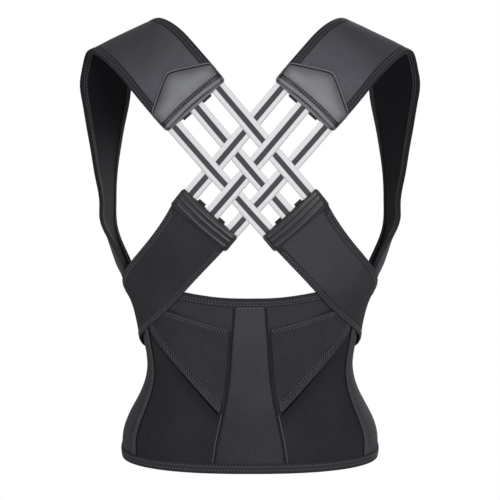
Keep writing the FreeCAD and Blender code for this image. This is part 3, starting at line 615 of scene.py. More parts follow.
def elastic(name, ground, stripe, width, stripe_width, turned):
    """Woven elastic: cords along it, picks across it, a dark middle stripe and a thin line by one edge."""
    n = Nodes(name)
    u, v = n.uv()
    across = n.math("SUBTRACT", width, v) if turned else v
    off = n.math("ABSOLUTE", n.math("SUBTRACT", v, width / 2.0))
    inside = n.math("LESS_THAN", off, stripe_width / 2.0)
    edge_line = n.math("MULTIPLY", n.math("GREATER_THAN", across, 0.0008),
                       n.math("LESS_THAN", across, 0.0015))
    cords = n.wave(v, 0.00125)
    picks = n.wave(u, 0.0009)
    height = n.math("ADD", cords, n.math("MULTIPLY", picks, 0.45))
    n.bump(height, 0.8, 0.0003)
    shade = n.math("MULTIPLY_ADD", n.math("MULTIPLY", cords, picks), 0.28, 0.72)
    white = n.mix(shade, toned(ground, 0.62), ground)
    white = n.mix(n.math("MULTIPLY", edge_line, 0.7), white, toned(ground, 0.3))
    dark = n.mix(shade, toned(stripe, 0.55), toned(stripe, 1.15))
    n.link(n.mix(inside, white, dark), n.shader.inputs["Base Color"])
    n.shader.inputs["Roughness"].default_value = 0.7
    n.shader.inputs["Sheen Weight"].default_value = 0.1
    n.shader.inputs["Specular IOR Level"].default_value = 0.3
    return n.mat


def pile(name, colour, depth=0.0005, scale=1800.0):
    """Brushed loop pile or moulded hooks: short dense fuzz."""
    n = Nodes(name)
    fuzz = n.noise(scale, 4.0, 0.75)
    n.bump(fuzz, 0.9, depth)
    face = n.mix(n.ramp(fuzz, [(0.3, 0.0), (0.7, 1.0)]), toned(colour, 0.6),
                 toned(colour, 1.5))
    # darker where the Shade attribute marks painted shade
    n.link(n.marked(face, toned(colour, 0.3), colour), n.shader.inputs["Base Color"])
    n.shader.inputs["Roughness"].default_value = 0.95
    n.shader.inputs["Sheen Weight"].default_value = 0.04
    n.shader.inputs["Specular IOR Level"].default_value = 0.15
    return n.mat


def thread(name, colour):
    """Twisted sewing thread with a soft sheen."""
    n = Nodes(name)
    twist = n.noise(5200.0, 2.0)
    n.link(n.mix(twist, toned(colour, 0.7), toned(colour, 1.35)),
           n.shader.inputs["Base Color"])
    n.bump(twist, 0.5, 0.0001)
    n.shader.inputs["Roughness"].default_value = 0.55
    n.shader.inputs["Sheen Weight"].default_value = 0.15
    return n.mat


def plain(name, colour, rough, metallic=0.0, speck=900.0, depth=0.0001):
    """Moulded or rolled finish with a fine uneven surface."""
    n = Nodes(name)
    speck_and_highlight = n.noise(speck, 3.0)
    n.link(n.mix(speck_and_highlight, toned(colour, 0.8), toned(colour, 1.25)),
           n.shader.inputs["Base Color"])
    n.link(n.math("MULTIPLY_ADD", speck_and_highlight, 0.2, rough - 0.1), n.shader.inputs["Roughness"])
    n.shader.inputs["Metallic"].default_value = metallic
    n.bump(speck_and_highlight, 0.4, depth)
    return n.mat


# ------------------------------------------------------------------ user sizes and colours
def colour_prop(title, words, rgb):
    return bpy.props.FloatVectorProperty(name=title, description=words, subtype="COLOR", size=3, min=0.0,
                                         max=1.0, default=linear(*rgb))


class BraceSizes(bpy.types.PropertyGroup):
    stitch_pitch: bpy.props.FloatProperty(
        name="Stitch pitch", description="Distance from one stitch to the next", default=0.0040,
        min=0.0015, max=0.01, unit="LENGTH")
    stitch_length: bpy.props.FloatProperty(
        name="Stitch length", description="Visible length of one stitch", default=0.0026, min=0.001,
        max=0.008, unit="LENGTH")
    thread_radius: bpy.props.FloatProperty(
        name="Thread radius", description="Radius of the sewing thread", default=0.00052, min=0.0001,
        max=0.001, unit="LENGTH")
    # the dark pull-in is painted shade in the dimple at each needle hole
    hole_radius: bpy.props.FloatProperty(
        name="Needle hole", description="Half width of the dark pull-in between two stitches",
        default=0.0012, min=0.0001, max=0.002, unit="LENGTH")
    binding_width: bpy.props.FloatProperty(
        name="Binding width", description="Width of the folded bindings on belt and straps",
        default=0.010, min=0.005, max=0.02, unit="LENGTH")
    hem_width: bpy.props.FloatProperty(
        name="Hem width", description="Width of the hems of wings and cross straps", default=0.008,
        min=0.004, max=0.015, unit="LENGTH")
    band_width: bpy.props.FloatProperty(
        name="Elastic width", description="Width of one woven elastic band", default=0.0196, min=0.01,
        max=0.03, unit="LENGTH")
    stripe_width: bpy.props.FloatProperty(
        name="Stripe width", description="Width of the dark stripe in the elastic", default=0.0068,
        min=0.0, max=0.015, unit="LENGTH")


class BraceColours(bpy.types.PropertyGroup):
    belt: colour_prop("Belt", "Knit of the center and side panels", (58, 57, 62))
    back: colour_prop("Back panels", "Knit of the two panels under the wings", (43, 42, 47))
    wing: colour_prop("Wings", "Knit of the two wings", (54, 53, 57))
    strap: colour_prop("Shoulder straps", "Knit of the shoulder straps", (84, 84, 92))
    cross: colour_prop("Cross straps", "Knit of the cross straps", (56, 55, 60))
    binding: colour_prop("Bindings", "Folded tape on the edges", (46, 45, 50))
    lining: colour_prop("Lining", "Brushed lining against the body", (22, 20, 28))
    patch: colour_prop("Upper patches", "Grained patches of the shoulder straps", (112, 113, 118))
    tab: colour_prop("Lower tabs", "Pressed tabs of the cross straps", (46, 45, 50))
    elastic: colour_prop("Elastic", "Ground of the woven elastic", (249, 249, 252))
    stripe: colour_prop("Stripe", "Middle stripe of the woven elastic", (76, 75, 80))
    thread: colour_prop("Thread", "Sewing thread", (92, 91, 98))


FINISH = {}


def finishes(context):
    """Make every material once, from the user's colours."""
    if FINISH:
        return FINISH
    c = context.scene.brace_colours
    s = context.scene.brace_sizes
    FINISH.update({
        "belt": knit("Belt knit", tuple(c.belt)),
        "back": knit("Back knit", tuple(c.back)),
        "wing": knit("Wing knit", tuple(c.wing), 0.0014, 0.0010),
        "side": knit("Side knit", toned(c.belt, 1.55), 0.0018, 0.0012),
        "strap": knit("Strap knit", tuple(c.strap), 0.0013, 0.0010, sheen=0.1),
        "cross": knit("Cross strap knit", tuple(c.cross), 0.0013, 0.0010, sheen=0.05),
        "binding": tape("Binding tape", tuple(c.binding)),
        "lining": pile("Brushed lining", tuple(c.lining)),
        # the last share of the patch and of the tab sets how pale their painted highlights are
        "patch": grain("Grained patch", tuple(c.patch), wear=1.3, folds=0.5, speck_and_highlight=1.75),
        "patch_back": grain("Patch backing", toned(c.tab, 0.5), rough=0.6),
        "tab": grain("Pressed tab", tuple(c.tab), cell=0.0009, rough=0.36, depth=0.00002, wear=1.1,
                     folds=0.1, speck_and_highlight=6.5),
        "elastic_a": elastic("Woven elastic, falling to the right", tuple(c.elastic), tuple(c.stripe),
                             s.band_width, s.stripe_width, False),
        "elastic_b": elastic("Woven elastic, falling to the left", tuple(c.elastic), tuple(c.stripe),
                             s.band_width, s.stripe_width, True),
        "thread": thread("Dark thread", tuple(c.thread)),
        # near-black pile: dark thread on the patches, piping and stay sleeves, and painted shade in the
        # dimples at needle holes, as a shadow strip under each wing's hem and as a shade line at each stay
        # sleeve's inner edge
        "hole": pile("Near-black thread and painted shade", toned(c.lining, 0.35)),
        "thread_pale": thread("Grey thread", toned(c.patch, 0.75)),
        "thread_tab": thread("Tab thread", toned(c.tab, 1.5)),
        "hook": pile("Hook tape", toned(c.lining, 0.8), 0.0007, 1300.0),
        "loop": pile("Loop tape", toned(c.lining, 1.1), 0.0005, 1500.0),
        "rubber": plain("Grip rubber", toned(c.binding, 0.8), 0.6),
        "steel": plain("Stay steel", (0.45, 0.45, 0.46), 0.35, 1.0),
        "piping": tape("Piping cover", toned(c.belt, 0.65), 0.0007),
    })
    return FINISH


def fold_blend(obj):
    """Bake the piece's placement into its mesh."""
    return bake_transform(obj)


def peel_blend(obj):
    """Bake the strap end's placement into its mesh."""
    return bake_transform(obj)


def cloth_sheet(obj, laid):
    """Return the piece as it is; its area, held within its flat cut size, is worked out but not kept."""
    w, l = laid["flat"]
    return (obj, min(max(laid["area"], 0.31 * w * l), w * l))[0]


def folded(low, high, width, swell=0.25, rows=(3.2, 7.0), tight=0.14):
    """Section of a folded binding: two legs and a rounded turn; corners as (t, d), t from the edge."""
    g, w = GAP, TAPE_THICK
    out = []
    legs = list(np.linspace(width, 0.0, 17))

    def puff(t):
        k = swell * math.sin(math.pi * min(1.0, max(0.0, t / width))) ** 0.6
        for r in rows:
            k -= tight * math.exp(-((t - r) / 0.55) ** 2)
        return k
    for t in legs:
        out.append((t, low - g - w - 0.3 * puff(t)))
    mid, rad = (low + high) / 2.0, (high - low) / 2.0 + g + w
    for a in (-60, -35, -12, 12, 35, 60):
        x = math.cos(math.radians(a))
        out.append((-(g + w) * x ** 0.6, mid + rad * math.sin(math.radians(a))))
    for t in legs[::-1]:
        out.append((t, high + g + w + puff(t)))
    out += [(width, high + g), (width * 0.5, high + g), (-g * 0.8, high + g), (-g * 0.8, low - g),
            (width * 0.5, low - g), (width, low - g)]
    return out


def ripple(seed, low, high, amp):
    """Slow uneven waves in cloth, the same each time for one seed; wave lengths in millimetres."""
    rng = np.random.default_rng(seed)
    parts = [(rng.uniform(low, high), rng.uniform(0.0, math.pi), rng.uniform(0.0, 6.28),
              rng.uniform(0.4, 1.0)) for _ in range(7)]

    def height(S, T):
        out = 0.0
        for length, turn, start, size in parts:
            out = out + size * np.sin(2.0 * math.pi / length * (S * math.cos(turn) + T * math.sin(turn))
                                      + start)
        return amp * out / 3.0
    return height


def dip(x, at, half):
    """Bell of height 1 around a line."""
    return np.exp(-((x - at) / half) ** 2)


def thread_sizes(context):
    """Sewing sizes in millimetres."""
    s = context.scene.brace_sizes
    return {"pitch": s.stitch_pitch * 1000.0, "length": s.stitch_length * 1000.0,
            "radius": s.thread_radius * 1000.0, "hole": s.hole_radius * 1000.0}


def row(cloth, base, us, vs, d, mat, sizes, offset=0.0, inside=False, holes=True):
    """Row of stitches along base(us, vs) at offset d."""
    us, vs = np.broadcast_arrays(np.asarray(us, float), np.asarray(vs, float))
    P, N = base(us, vs)
    d = np.asarray(d, float) + 0.0 * us
    out = -N if inside else N
    path = P + N * d[..., None]
    stitches(cloth, path, out, mat, sizes["pitch"], sizes["length"], sizes["radius"], offset)
    if not holes:
        return
    # dark blobs sunk at the needle holes between the stitches: painted shade in the dimples there
    stitches(cloth, path, out, mat + 1, sizes["pitch"], sizes["hole"] * 1.6, sizes["hole"], offset - 0.5,
             -0.72)


def cover(cloth, base, us, v1, v2, d, mat, sizes):
    """Coverstitch along a hem: two rows of stitches and a looper thread that zigzags between them."""
    us, v1, v2 = np.broadcast_arrays(np.asarray(us, float), np.asarray(v1, float), np.asarray(v2, float))
    row(cloth, base, us, v1, d, mat, sizes)
    row(cloth, base, us, v2, d, mat, sizes, 0.5)
    (pa, na), (pb, nb) = base(us, v1), base(us, v2)
    d = np.asarray(d, float) + 0.0 * us
    pa, pb = pa + na * d[..., None], pb + nb * d[..., None]
    steps = np.linalg.norm(np.diff(pa, axis=0), axis=-1)
    along = np.concatenate([[0.0], np.cumsum(steps)]) / steps.sum()
    n = max(4, int(steps.sum() / sizes["pitch"]) * 2)
    at = np.linspace(0.004, 0.996, n)
    share = np.where(np.arange(n) % 2 == 0, 0.08, 0.92)[:, None]

    def pick(a, b):
        a, b = [np.stack([np.interp(at, along, k[:, c]) for c in range(3)], -1) for k in (a, b)]
        return a + (b - a) * share
    nrm = unit(pick(na, nb))
    path = pick(pa, pb) + nrm * 0.1
    ahead = unit(np.gradient(path, axis=0))
    side = unit(np.cross(nrm, ahead))
    r = sizes["radius"] * 0.75
    ring = np.stack([path - side * r, path + nrm * r, path + side * r], 1)
    i, j = np.meshgrid(np.arange(n - 1), np.arange(3), indexing="ij")
    a, b = (i * 3 + j).ravel(), (i * 3 + (j + 1) % 3).ravel()
    quads = np.stack([a, b, b + 3, a + 3], -1)[:, ::-1]
    cloth.add(ring, [quads, np.array([[0, 1, 2], [3 * n - 1, 3 * n - 2, 3 * n - 3]])], mat,
              np.zeros((3 * n, 2)))


def both_sides():
    """Sign, name and whether the piece is mirrored; pieces are made for the right side."""
    return ((1, "right", False), (-1, "left", True))


def panel_base(left, right, top, hem):
    """Base of a belt panel between two seam lines, from the hem's height up to the top line."""
    def base(U, V):
        z = 0.0 * U
        phi = 0.0 * U
        for _ in range(4):
            phi = lerp(left(z), right(z), U)
            z = lerp(hem, top(phi), V)
        return form_base(phi, z)
    return base


HALF_SEAM = 0.14


class BRACE_OT_belt_panels(bpy.types.Operator):
    """Make the belt's center, back and side panels"""
    bl_idname = "brace.belt_panels"
    bl_label = "Belt panels"

    def execute(self, context):
        m = finishes(context)
        vs = ticks(224.0, 4.5)

        def wrinkled(seed):
            wave = ripple(seed, 38.0, 95.0, CLOTH_WAVE)
            fine = ripple(seed + 50, 12.0, 26.0, CLOTH_WAVE * 0.25)
            return lambda S, T, LS, LT: np.minimum(wave(S * 0.6, T) + fine(S, T) - 0.12, 0.2)
        base = panel_base(lambda z: HALF_SEAM - center_edge(z), lambda z: center_edge(z) - HALF_SEAM,
                          belt_top, HEM_CLEAR)
        cloth = Cloth("back_center_panel_cloth")
        # painted light: the center panel is painted paler towards its top, where more light falls, and a
        # little darker low down
        laid = lay_sheet(cloth, base, ticks(90.0, 4.0), vs, 0.0, BELT_THICK, wrinkled(3), mats=(0, 1),
                         shade=lambda S, T, LS, LT: 0.12 - 0.5 * ease(T / LT * 1.15 - 0.1))
        width = context.scene.brace_sizes.binding_width * 1000.0
        reach = CENTER_TOP_ANGLE - 1.2
        sweep(cloth, rim_base(belt_top, -1.0), np.linspace(-reach, reach, 30),
              cord(width + 1.0, BELT_THICK + 0.2, 0.4), 2)
        obj = cloth.make([m["belt"], m["lining"], m["thread_pale"]])
        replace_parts(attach(obj, "brace_body"), "back_center_panel")
        cloth_sheet(obj, laid)
        for side, name, mirror in both_sides():
            base = panel_base(lambda z: center_edge(z) + HALF_SEAM, lambda z: STAY_LINE(z) - HALF_SEAM,
                              belt_top, HEM_CLEAR)
            cloth = Cloth("back_panel_cloth_" + name)

            # paler above the wing's top seam, where the cloth has the wing's paler tone, and darker in a band
            # just below the wing's lower edge: a painted shadow of the wing
            def tone_and_painted_light(S, T, LS, LT):
                z = lerp(HEM_CLEAR, BELT_BACK_HEIGHT, T / LT)
                phi = lerp(center_edge(z), STAY_ANGLE, S / LS)
                above = -0.65 * ease((z - WING_HIGH(phi) + 5.0) / 5.0)
                return above + 0.5 * dip(z, WING_LOW(phi) - 4.0, 10.0)
            laid = lay_sheet(cloth, base, ticks(140.0, 4.0), vs, 0.0, BELT_THICK, wrinkled(11 + side),
                             mats=(0, 1), shade=tone_and_painted_light)
            obj = cloth.make([m["back"], m["lining"]], mirror)
            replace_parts(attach(obj, "brace_body"), "back_panel_" + name)
            cloth_sheet(obj, laid)
            base = panel_base(lambda z: STAY_LINE(z) + HALF_SEAM,
                              lambda z: HINGE_ANGLE - SEAM_ANGLE + 0.0 * z, belt_top, HEM_CLEAR)
            cloth = Cloth("side_panel_cloth_" + name)
            laid = lay_sheet(cloth, base, ticks(130.0, 4.0), vs, 0.0, BELT_THICK, wrinkled(21 + side),
                             mats=(0, 1))
            obj = cloth.make([m["side"], m["lining"]], mirror)
            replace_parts(fold_blend(obj), "side_panel_" + name)
            cloth_sheet(obj, laid)
        return {"FINISHED"}


def rim_base(edge, inward, lift=no_lift):
    """Base along an edge line; t is the distance from it, up for inward 1 and down for inward -1."""
    def base(phi, t):
        P, N = form_base(phi, edge(phi) + inward * t)
        return P + N * lift(phi)[..., None], N
    return base


def rim_piece(cloth, base, us, width, sizes, high=BELT_THICK, swell=0.3, shade=None):
    """Folded binding with its two coverstitch rows, outside and inside."""
    rows = (width * 0.3, width * 0.72)
    sweep(cloth, base, us, folded(0.0, high, width, swell, rows), shade=shade)
    fine = np.linspace(us[0], us[-1], 4 * len(us))
    cover(cloth, base, fine, rows[0], rows[1], high + GAP + TAPE_THICK + 0.02, 1, sizes)
    for t in rows:
        row(cloth, base, fine, t, -GAP - TAPE_THICK + 0.02, 1, sizes, 0.0, True)


class BRACE_OT_belt_bindings(bpy.types.Operator):
    """Make the folded bindings on the belt's top edge and hem"""
    bl_idname = "brace.belt_bindings"
    bl_label = "Belt bindings"

    def execute(self, context):
        m = finishes(context)
        sizes = thread_sizes(context)
        width = context.scene.brace_sizes.binding_width * 1000.0
        back, end = 75.0, HINGE_ANGLE - SEAM_ANGLE

        def hem_edge(phi):
            return HEM_CLEAR + 0.0 * phi
        for node, base, w in (("belt_top_binding", rim_base(belt_top, -1.0), width),
                              ("belt_hem_binding", rim_base(hem_edge, 1.0), width * HEM_TAPE_SHARE)):
            for part, a, b, side in (("back", -back, back, 0), ("right", back, end, 1),
                                     ("left", -end, -back, -1)):
                cloth = Cloth(node + "_" + part)
                rim_piece(cloth, base, np.linspace(a, b, 90 if side == 0 else 40), w, sizes)
                obj = cloth.make([m["binding"], m["thread"], m["hole"]])
                if side:
                    fold_blend(obj)
                else:
                    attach(obj, "brace_body")
                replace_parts(obj, node)
        return {"FINISHED"}


# ------------------------------------------------------------------ wings
WING_LOW = Smooth([15.0, 22.0, 31.0, 42.5, 54.5, 66.0, 72.0], [66.0, 77.0, 93.0, 116.0, 145.0, 176.0, 192.0])
WING_HIGH = Smooth([10.0, 17.0, 35.0, 51.0, 62.0, 72.0], [184.0, 186.0, 195.0, 205.0, 211.0, 214.0])


def wing_angle(U, V):
    """Angle from the seam of the center panel to the stay's sleeve."""
    return lerp(center_edge(lerp(70.0, 186.0, V)) + 2.6, STAY_ANGLE - 3.6, U)


def wing_base(U, V):
    """Base of a wing from its slanting hem up to its top seam."""
    phi = wing_angle(U, V)
    return form_base(phi, lerp(WING_LOW(phi), WING_HIGH(phi), V))


def edge_lean(base, us, v):
    """Share of a step along v that goes straight away from the edge line at v."""
    P, _ = base(us, v + 0.0 * us)
    Q, _ = base(us, v + (0.01 if v < 0.5 else -0.01) + 0.0 * us)
    ahead = unit(np.gradient(P, axis=0))
    step = Q - P
    flat = step - ahead * np.sum(step * ahead, -1, keepdims=True)
    return np.linalg.norm(flat, axis=-1) / np.linalg.norm(step, axis=-1)


class BRACE_OT_support_wings(bpy.types.Operator):
    """Make the two support wings with their stitched hems"""
    bl_idname = "brace.support_wings"
    bl_label = "Support wings"

    def execute(self, context):
        m = finishes(context)
        sizes = thread_sizes(context)
        hem = context.scene.brace_sizes.hem_width * 1000.0 * WING_HEM_SHARE
        stand_off = 1.7
        for side, name, mirror in both_sides():
            wave = ripple(31 + side, 30.0, 80.0, CLOTH_WAVE)

            def tall(U, V):
                phi = wing_angle(U, V)
                return WING_HIGH(phi) - WING_LOW(phi)
            us = np.linspace(0.01, 0.99, 240)
            lean_low, lean_high = edge_lean(wing_base, us, 0.0), edge_lean(wing_base, us, 1.0)

            def low(U, V):
                ends = ease(U * 8) * ease((1 - U) * 8)
                return D_ON_BELT + stand_off * dip(V * tall(U, V), 0.0, 16.0) * ends

            def relief(S, T, LS, LT):
                down = T * np.interp(S / LS, us, lean_low)
                up = (LT - T) * np.interp(S / LS, us, lean_high)
                out = 0.45 * (1.0 - ease((down - hem + 0.5) / 1.0)) - 0.35 * dip(down, hem + 0.4, 0.7)
                out = out + 0.3 * (1.0 - ease((up - 6.0) / 1.0))
                return out + np.maximum(wave(S, T), -0.3) * ease(T / 12.0)
            cloth = Cloth("support_wing_cloth_" + name)
            laid = lay_sheet(cloth, wing_base, ticks(125.0, 2.5), ticks(90.0, 1.6), low,
                             lambda U, V: low(U, V) + WING_THICK, relief)
            v1, v2 = [t / lean_low / tall(us, 0.0 * us) for t in (1.8, hem - 1.4)]
            cover(cloth, wing_base, us, v1, v2, (low(us, v1) + low(us, v2)) / 2.0 + WING_THICK + 0.4, 1,
                  sizes)
            v1, v2 = [1.0 - t / lean_high / tall(us, 1.0 + 0.0 * us) for t in (1.4, 5.4)]
            cover(cloth, wing_base, us, v1, v2, low(us, v1) + WING_THICK + 0.28, 1, sizes)
            # a thin near-black strip just below the wing's hem edge: a painted shadow of the wing on the back
            # panel
            wing_shadow_strip = [(t, D_ON_BELT + d) for t, d in
                      ((3.6, 0.02), (-3.0, 0.02), (-3.0, 0.55), (1.2, 0.55), (3.4, 0.4))]
            sweep(cloth, rim_base(WING_LOW, -1.0), wing_angle(np.linspace(0.03, 0.96, 120), 0.0), wing_shadow_strip, 2)
            obj = cloth.make([m["wing"], m["thread"], m["hole"]], mirror)
            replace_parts(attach(obj, "brace_body"), "support_wing_" + name)
            cloth_sheet(obj, laid)
        return {"FINISHED"}


# ------------------------------------------------------------------ piping and stay sleeves
def strip_base(line):
    """Base of an upright strip on an angle line; t is the distance to its side."""
    def base(z, t):
        phi = line(z)
        P = form_point(phi, z)
        r = np.hypot(P[..., 0], P[..., 1])
        return form_base(phi + np.degrees(t / r), z)
    return base


STRIP_LOW = HEM_CLEAR + 12.5 + 0.6


def domed(half, low, high):
    """Section of a covered cord, flat below and rounded above."""
    out = [(half, low), (0.0, low), (-half, low)]
    foot = low + 0.12
    for a in np.linspace(math.pi, 0.0, 9):
        out.append((half * math.cos(a), foot + (high - foot) * max(0.0, math.sin(a)) ** 0.5))
    return out


SLEEVE_HALF = 6.0
SLEEVE_ROW = 4.7


def sleeve_section():
    """Section of a stay's sleeve: thin hems, a groove for each stitch row and the raised stay between."""
    out = [(SLEEVE_HALF, D_ON_BELT), (0.0, D_ON_BELT), (-SLEEVE_HALF, D_ON_BELT)]
    for t in np.linspace(-SLEEVE_HALF, SLEEVE_HALF, 23):
        inner = 1.0 - min(SLEEVE_HALF - abs(t), 0.8) / 0.8
        d = 1.2 * min(1.0, math.sqrt(max(0.0, 1.0 - inner ** 2)) + 0.05)
        d += 0.85 * ease((4.2 - abs(t)) / 1.6) - 0.25 * dip(abs(t), SLEEVE_ROW, 0.5)
        out.append((t, D_ON_BELT + max(0.1, d)))
    return out


class BRACE_OT_piping_and_stays(bpy.types.Operator):
    """Make the piping beside the center panel and the sleeves of the side stays"""
    bl_idname = "brace.piping_and_stays"
    bl_label = "Piping and stay sleeves"

    def execute(self, context):
        m = finishes(context)
        sizes = thread_sizes(context)
        for _, name, mirror in both_sides():
            cloth = Cloth("center_piping_cover_" + name)
            base = strip_base(center_edge)
            top = BELT_BACK_HEIGHT - UNDER_TOP_TAPE
            zs = np.linspace(STRIP_LOW, top, 70)
            sweep(cloth, base, zs, domed(1.5, D_ON_BELT - 0.2, D_ON_BELT + 0.9))
            row(cloth, base, np.linspace(STRIP_LOW + 2, top - 2, 160), 0.0, D_ON_BELT + 0.75, 2,
                dict(sizes, pitch=3.6, length=2.7, radius=0.75), holes=False)
            # a thin pale cord beside the piping below the wing: a painted highlight on the seam's raised edge
            below_wing = np.linspace(STRIP_LOW, 74.0, 30)
            sweep(cloth, base, below_wing, cord(2.9, D_ON_BELT + 0.1, 0.45), 1)
            obj = cloth.make([m["piping"], m["thread"], m["hole"]], mirror)
            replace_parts(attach(obj, "brace_body"), "center_piping_" + name)
            cloth = Cloth("stay_sleeve_" + name)
            base = strip_base(STAY_LINE)
            top = float(belt_top(STAY_ANGLE)) - UNDER_TOP_TAPE
            zs = np.linspace(STRIP_LOW, top, 80)
            sweep(cloth, base, zs, sleeve_section())
            row(cloth, base, np.linspace(STRIP_LOW + 2, top - 2, 200), SLEEVE_ROW, D_ON_BELT + 0.95, 2,
                dict(sizes, radius=0.4), holes=False)
            # a thin near-black cord along the sleeve's inner edge: painted shade in the seam's groove
            sweep(cloth, base, zs, cord(-SLEEVE_HALF - 0.1, D_ON_BELT + 0.35, 0.6), 2)
            obj = cloth.make([m["side"], m["thread"], m["hole"]], mirror)
            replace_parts(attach(obj, "brace_body"), "stay_channel_" + name)
        for name in ("side_stay_right", "side_stay_left"):
            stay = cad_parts[name]
            stay.data.materials.clear()
            stay.data.materials.append(m["steel"])
        return {"FINISHED"}


# ------------------------------------------------------------------ cross straps
CROSS_KEYS = [0.0, 0.12, 0.24, 0.45, 0.63, 0.77, 0.89, 1.0]
CROSS_UP = [(40.4, 354.0), (46.0, 328.0), (53.0, 302.0), (68.5, 260.0), (84.0, 230.0), (98.0, 209.0),
            (111.0, 193.0), (HINGE_ANGLE - SEAM_ANGLE, 179.0)]
CROSS_LOW = [(12.4, 296.5), (22.0, 275.0), (33.0, 250.0), (50.5, 210.0), (70.0, 176.0), (91.0, 151.0),
             (109.0, 133.0), (HINGE_ANGLE - SEAM_ANGLE, 120.0)]
FRONT_KEYS = [0.0, 0.31, 0.63, 1.0]
FRONT_UP = [(HINGE_ANGLE - SEAM_ANGLE + BUTT_ANGLE, 179.0), (134.0, 171.0), (144.0, 162.0), (156.0, 151.0)]
FRONT_LOW = [(HINGE_ANGLE - SEAM_ANGLE + BUTT_ANGLE, 120.0), (134.0, 112.5), (144.0, 105.0), (156.0, 96.0)]


def ribbon_base(keys, up, low, lift=no_lift):
    """Base between two edge lines of (angle, height) points; u along, v from the upper to the lower edge."""
    lines = [Smooth(keys, [p[i] for p in side]) for side in (up, low) for i in (0, 1)]

    def base(U, V):
        a_phi, a_z, b_phi, b_z = [f(U) for f in lines]
        phi = lerp(a_phi, b_phi, V)
        P, N = form_base(phi, lerp(a_z, b_z, V))
        return P + N * lift(phi)[..., None], N
    return base


def cross_height(U):
    """Inner face of a cross strap: on the body under its tab, then up on to the belt."""
    return lerp(D_BAND_END, D_CROSS, ease(U / 0.26))


def hem_marks(width, hem):
    """Lines across a strap that need closer points: its stitch rows and the inner ends of its hems."""
    near = [(HEM_ROW_OUT, 0.5), (hem - HEM_ROW_IN, 0.5), (hem, 0.7)]
    return near + [(width - at, half) for at, half in near]


def strap_relief(hem, seed, amp, calm):
    """Face of a strap: raised hems with grooves for their stitch rows and slow waves between.

    calm(S, LS) fades the waves where one strap piece runs on into the next.
    """
    wave = ripple(seed, 22.0, 60.0, amp)

    def relief(S, T, LS, LT):
        out = 0.0
        for e in (T, LT - T):
            out = out + 0.5 * (1.0 - ease((e - hem + 0.4) / 0.9)) - 0.3 * dip(e, hem + 0.35, 0.6)
            out = out - 0.2 * dip(e, HEM_ROW_OUT, 0.45) - 0.2 * dip(e, hem - HEM_ROW_IN, 0.45)
        return out + wave(S * 0.55, T) * ease(np.minimum(T, LT - T) / 15.0) * ease(calm(S, LS) / 25.0)
    return relief


class BRACE_OT_cross_straps(bpy.types.Operator):
    """Make the two cross straps that run from the lower tabs over the sides to the front"""
    bl_idname = "brace.cross_straps"
    bl_label = "Cross straps"

    def execute(self, context):
        m = finishes(context)
        sizes = thread_sizes(context)
        hem = context.scene.brace_sizes.hem_width * 1000.0
        base = ribbon_base(CROSS_KEYS, CROSS_UP, CROSS_LOW)
        width = 90.0
        for side, name, mirror in both_sides():
            # painted light near the tab: the right strap painted paler as a painted highlight, the left one
            # painted darker as painted shade; both are darker along their hems there
            body, edge = (-0.4, 0.75) if side > 0 else (0.22, 0.12)

            def tone_and_painted_light(S, T, LS, LT):
                e = np.minimum(T, LT - T)
                out = body * (1.0 - ease((S - 60.0) / 110.0))
                return out + edge * (1.0 - ease((e - hem) / 2.5)) * (1.0 - ease((S - 110.0) / 110.0))
            cloth = Cloth("cross_strap_cloth_" + name)
            laid = lay_sheet(cloth, base, ticks(330.0, 4.0), ticks(width, 3.5, hem_marks(width, hem)),
                             lambda U, V: cross_height(U), lambda U, V: cross_height(U) + CROSS_THICK,
                             strap_relief(hem, 41 + side, 0.3, lambda S, LS: LS - S), soft=(1, 0, 1, 1),
                             shade=tone_and_painted_light)
            us = np.linspace(0.07, 0.998, 420)
            at = np.linspace(0.0, 1.0, 60)
            P, _ = base(at[:, None], np.array([0.0, 1.0])[None])
            wide = np.interp(us, at, np.linalg.norm(P[:, 1] - P[:, 0], axis=-1))
            up = cross_height(us) + CROSS_THICK + 0.32
            a, b = HEM_ROW_OUT / wide, (hem - HEM_ROW_IN) / wide
            cover(cloth, base, us, a, b, up, 1, sizes)
            cover(cloth, base, us, 1.0 - a, 1.0 - b, up, 1, sizes)
            obj = cloth.make([m["cross"], m["thread"], m["hole"]], mirror)
            fold_blend(obj)
            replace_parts(obj, "cross_strap_" + name, "cross_strap_hems_" + name)
            cloth_sheet(obj, laid)
        return {"FINISHED"}


# ------------------------------------------------------------------ lower tabs
TAB_TOP_OUT = (82.5, 367.0)
TAB_TOP_IN = (15.0, 305.5)
TAB_LOW_IN = (30.5, 286.5)
TAB_LOW_OUT = (99.0, 345.5)
TAB_LENGTH = 91.0
TAB_WIDTH = 24.6
TAB_ROW = 2.4
TAB_END_ROW = 2.8
TAB_RIDGES = ((7.0, 0.5), (13.2, 0.75), (21.2, 1.0))
D_TAB = D_BAND_END + CROSS_THICK + 0.45


def rounded_span(U, near, radius, length):
    """Pull the ends of U in where the row is closer than radius to a corner."""
    k = np.clip(near / radius, 0.0, 1.0)
    inset = radius * (1.0 - np.sqrt(np.clip(1.0 - (1.0 - k) ** 2, 0.0, 1.0))) / length
    return lerp(inset, 1.0 - inset, U)


def flat_tab(U, V):
    """Base between the tab's four corners."""
    x, z = [lerp(lerp(TAB_TOP_OUT[i], TAB_TOP_IN[i], U), lerp(TAB_LOW_OUT[i], TAB_LOW_IN[i], U), V)
            for i in (0, 1)]
    return form_base(phi_of_x(x, z), z)


def tab_base(U, V):
    """The same with rounded corners."""
    return flat_tab(rounded_span(U, TAB_WIDTH * np.minimum(V, 1.0 - V), 3.5, TAB_LENGTH), V)


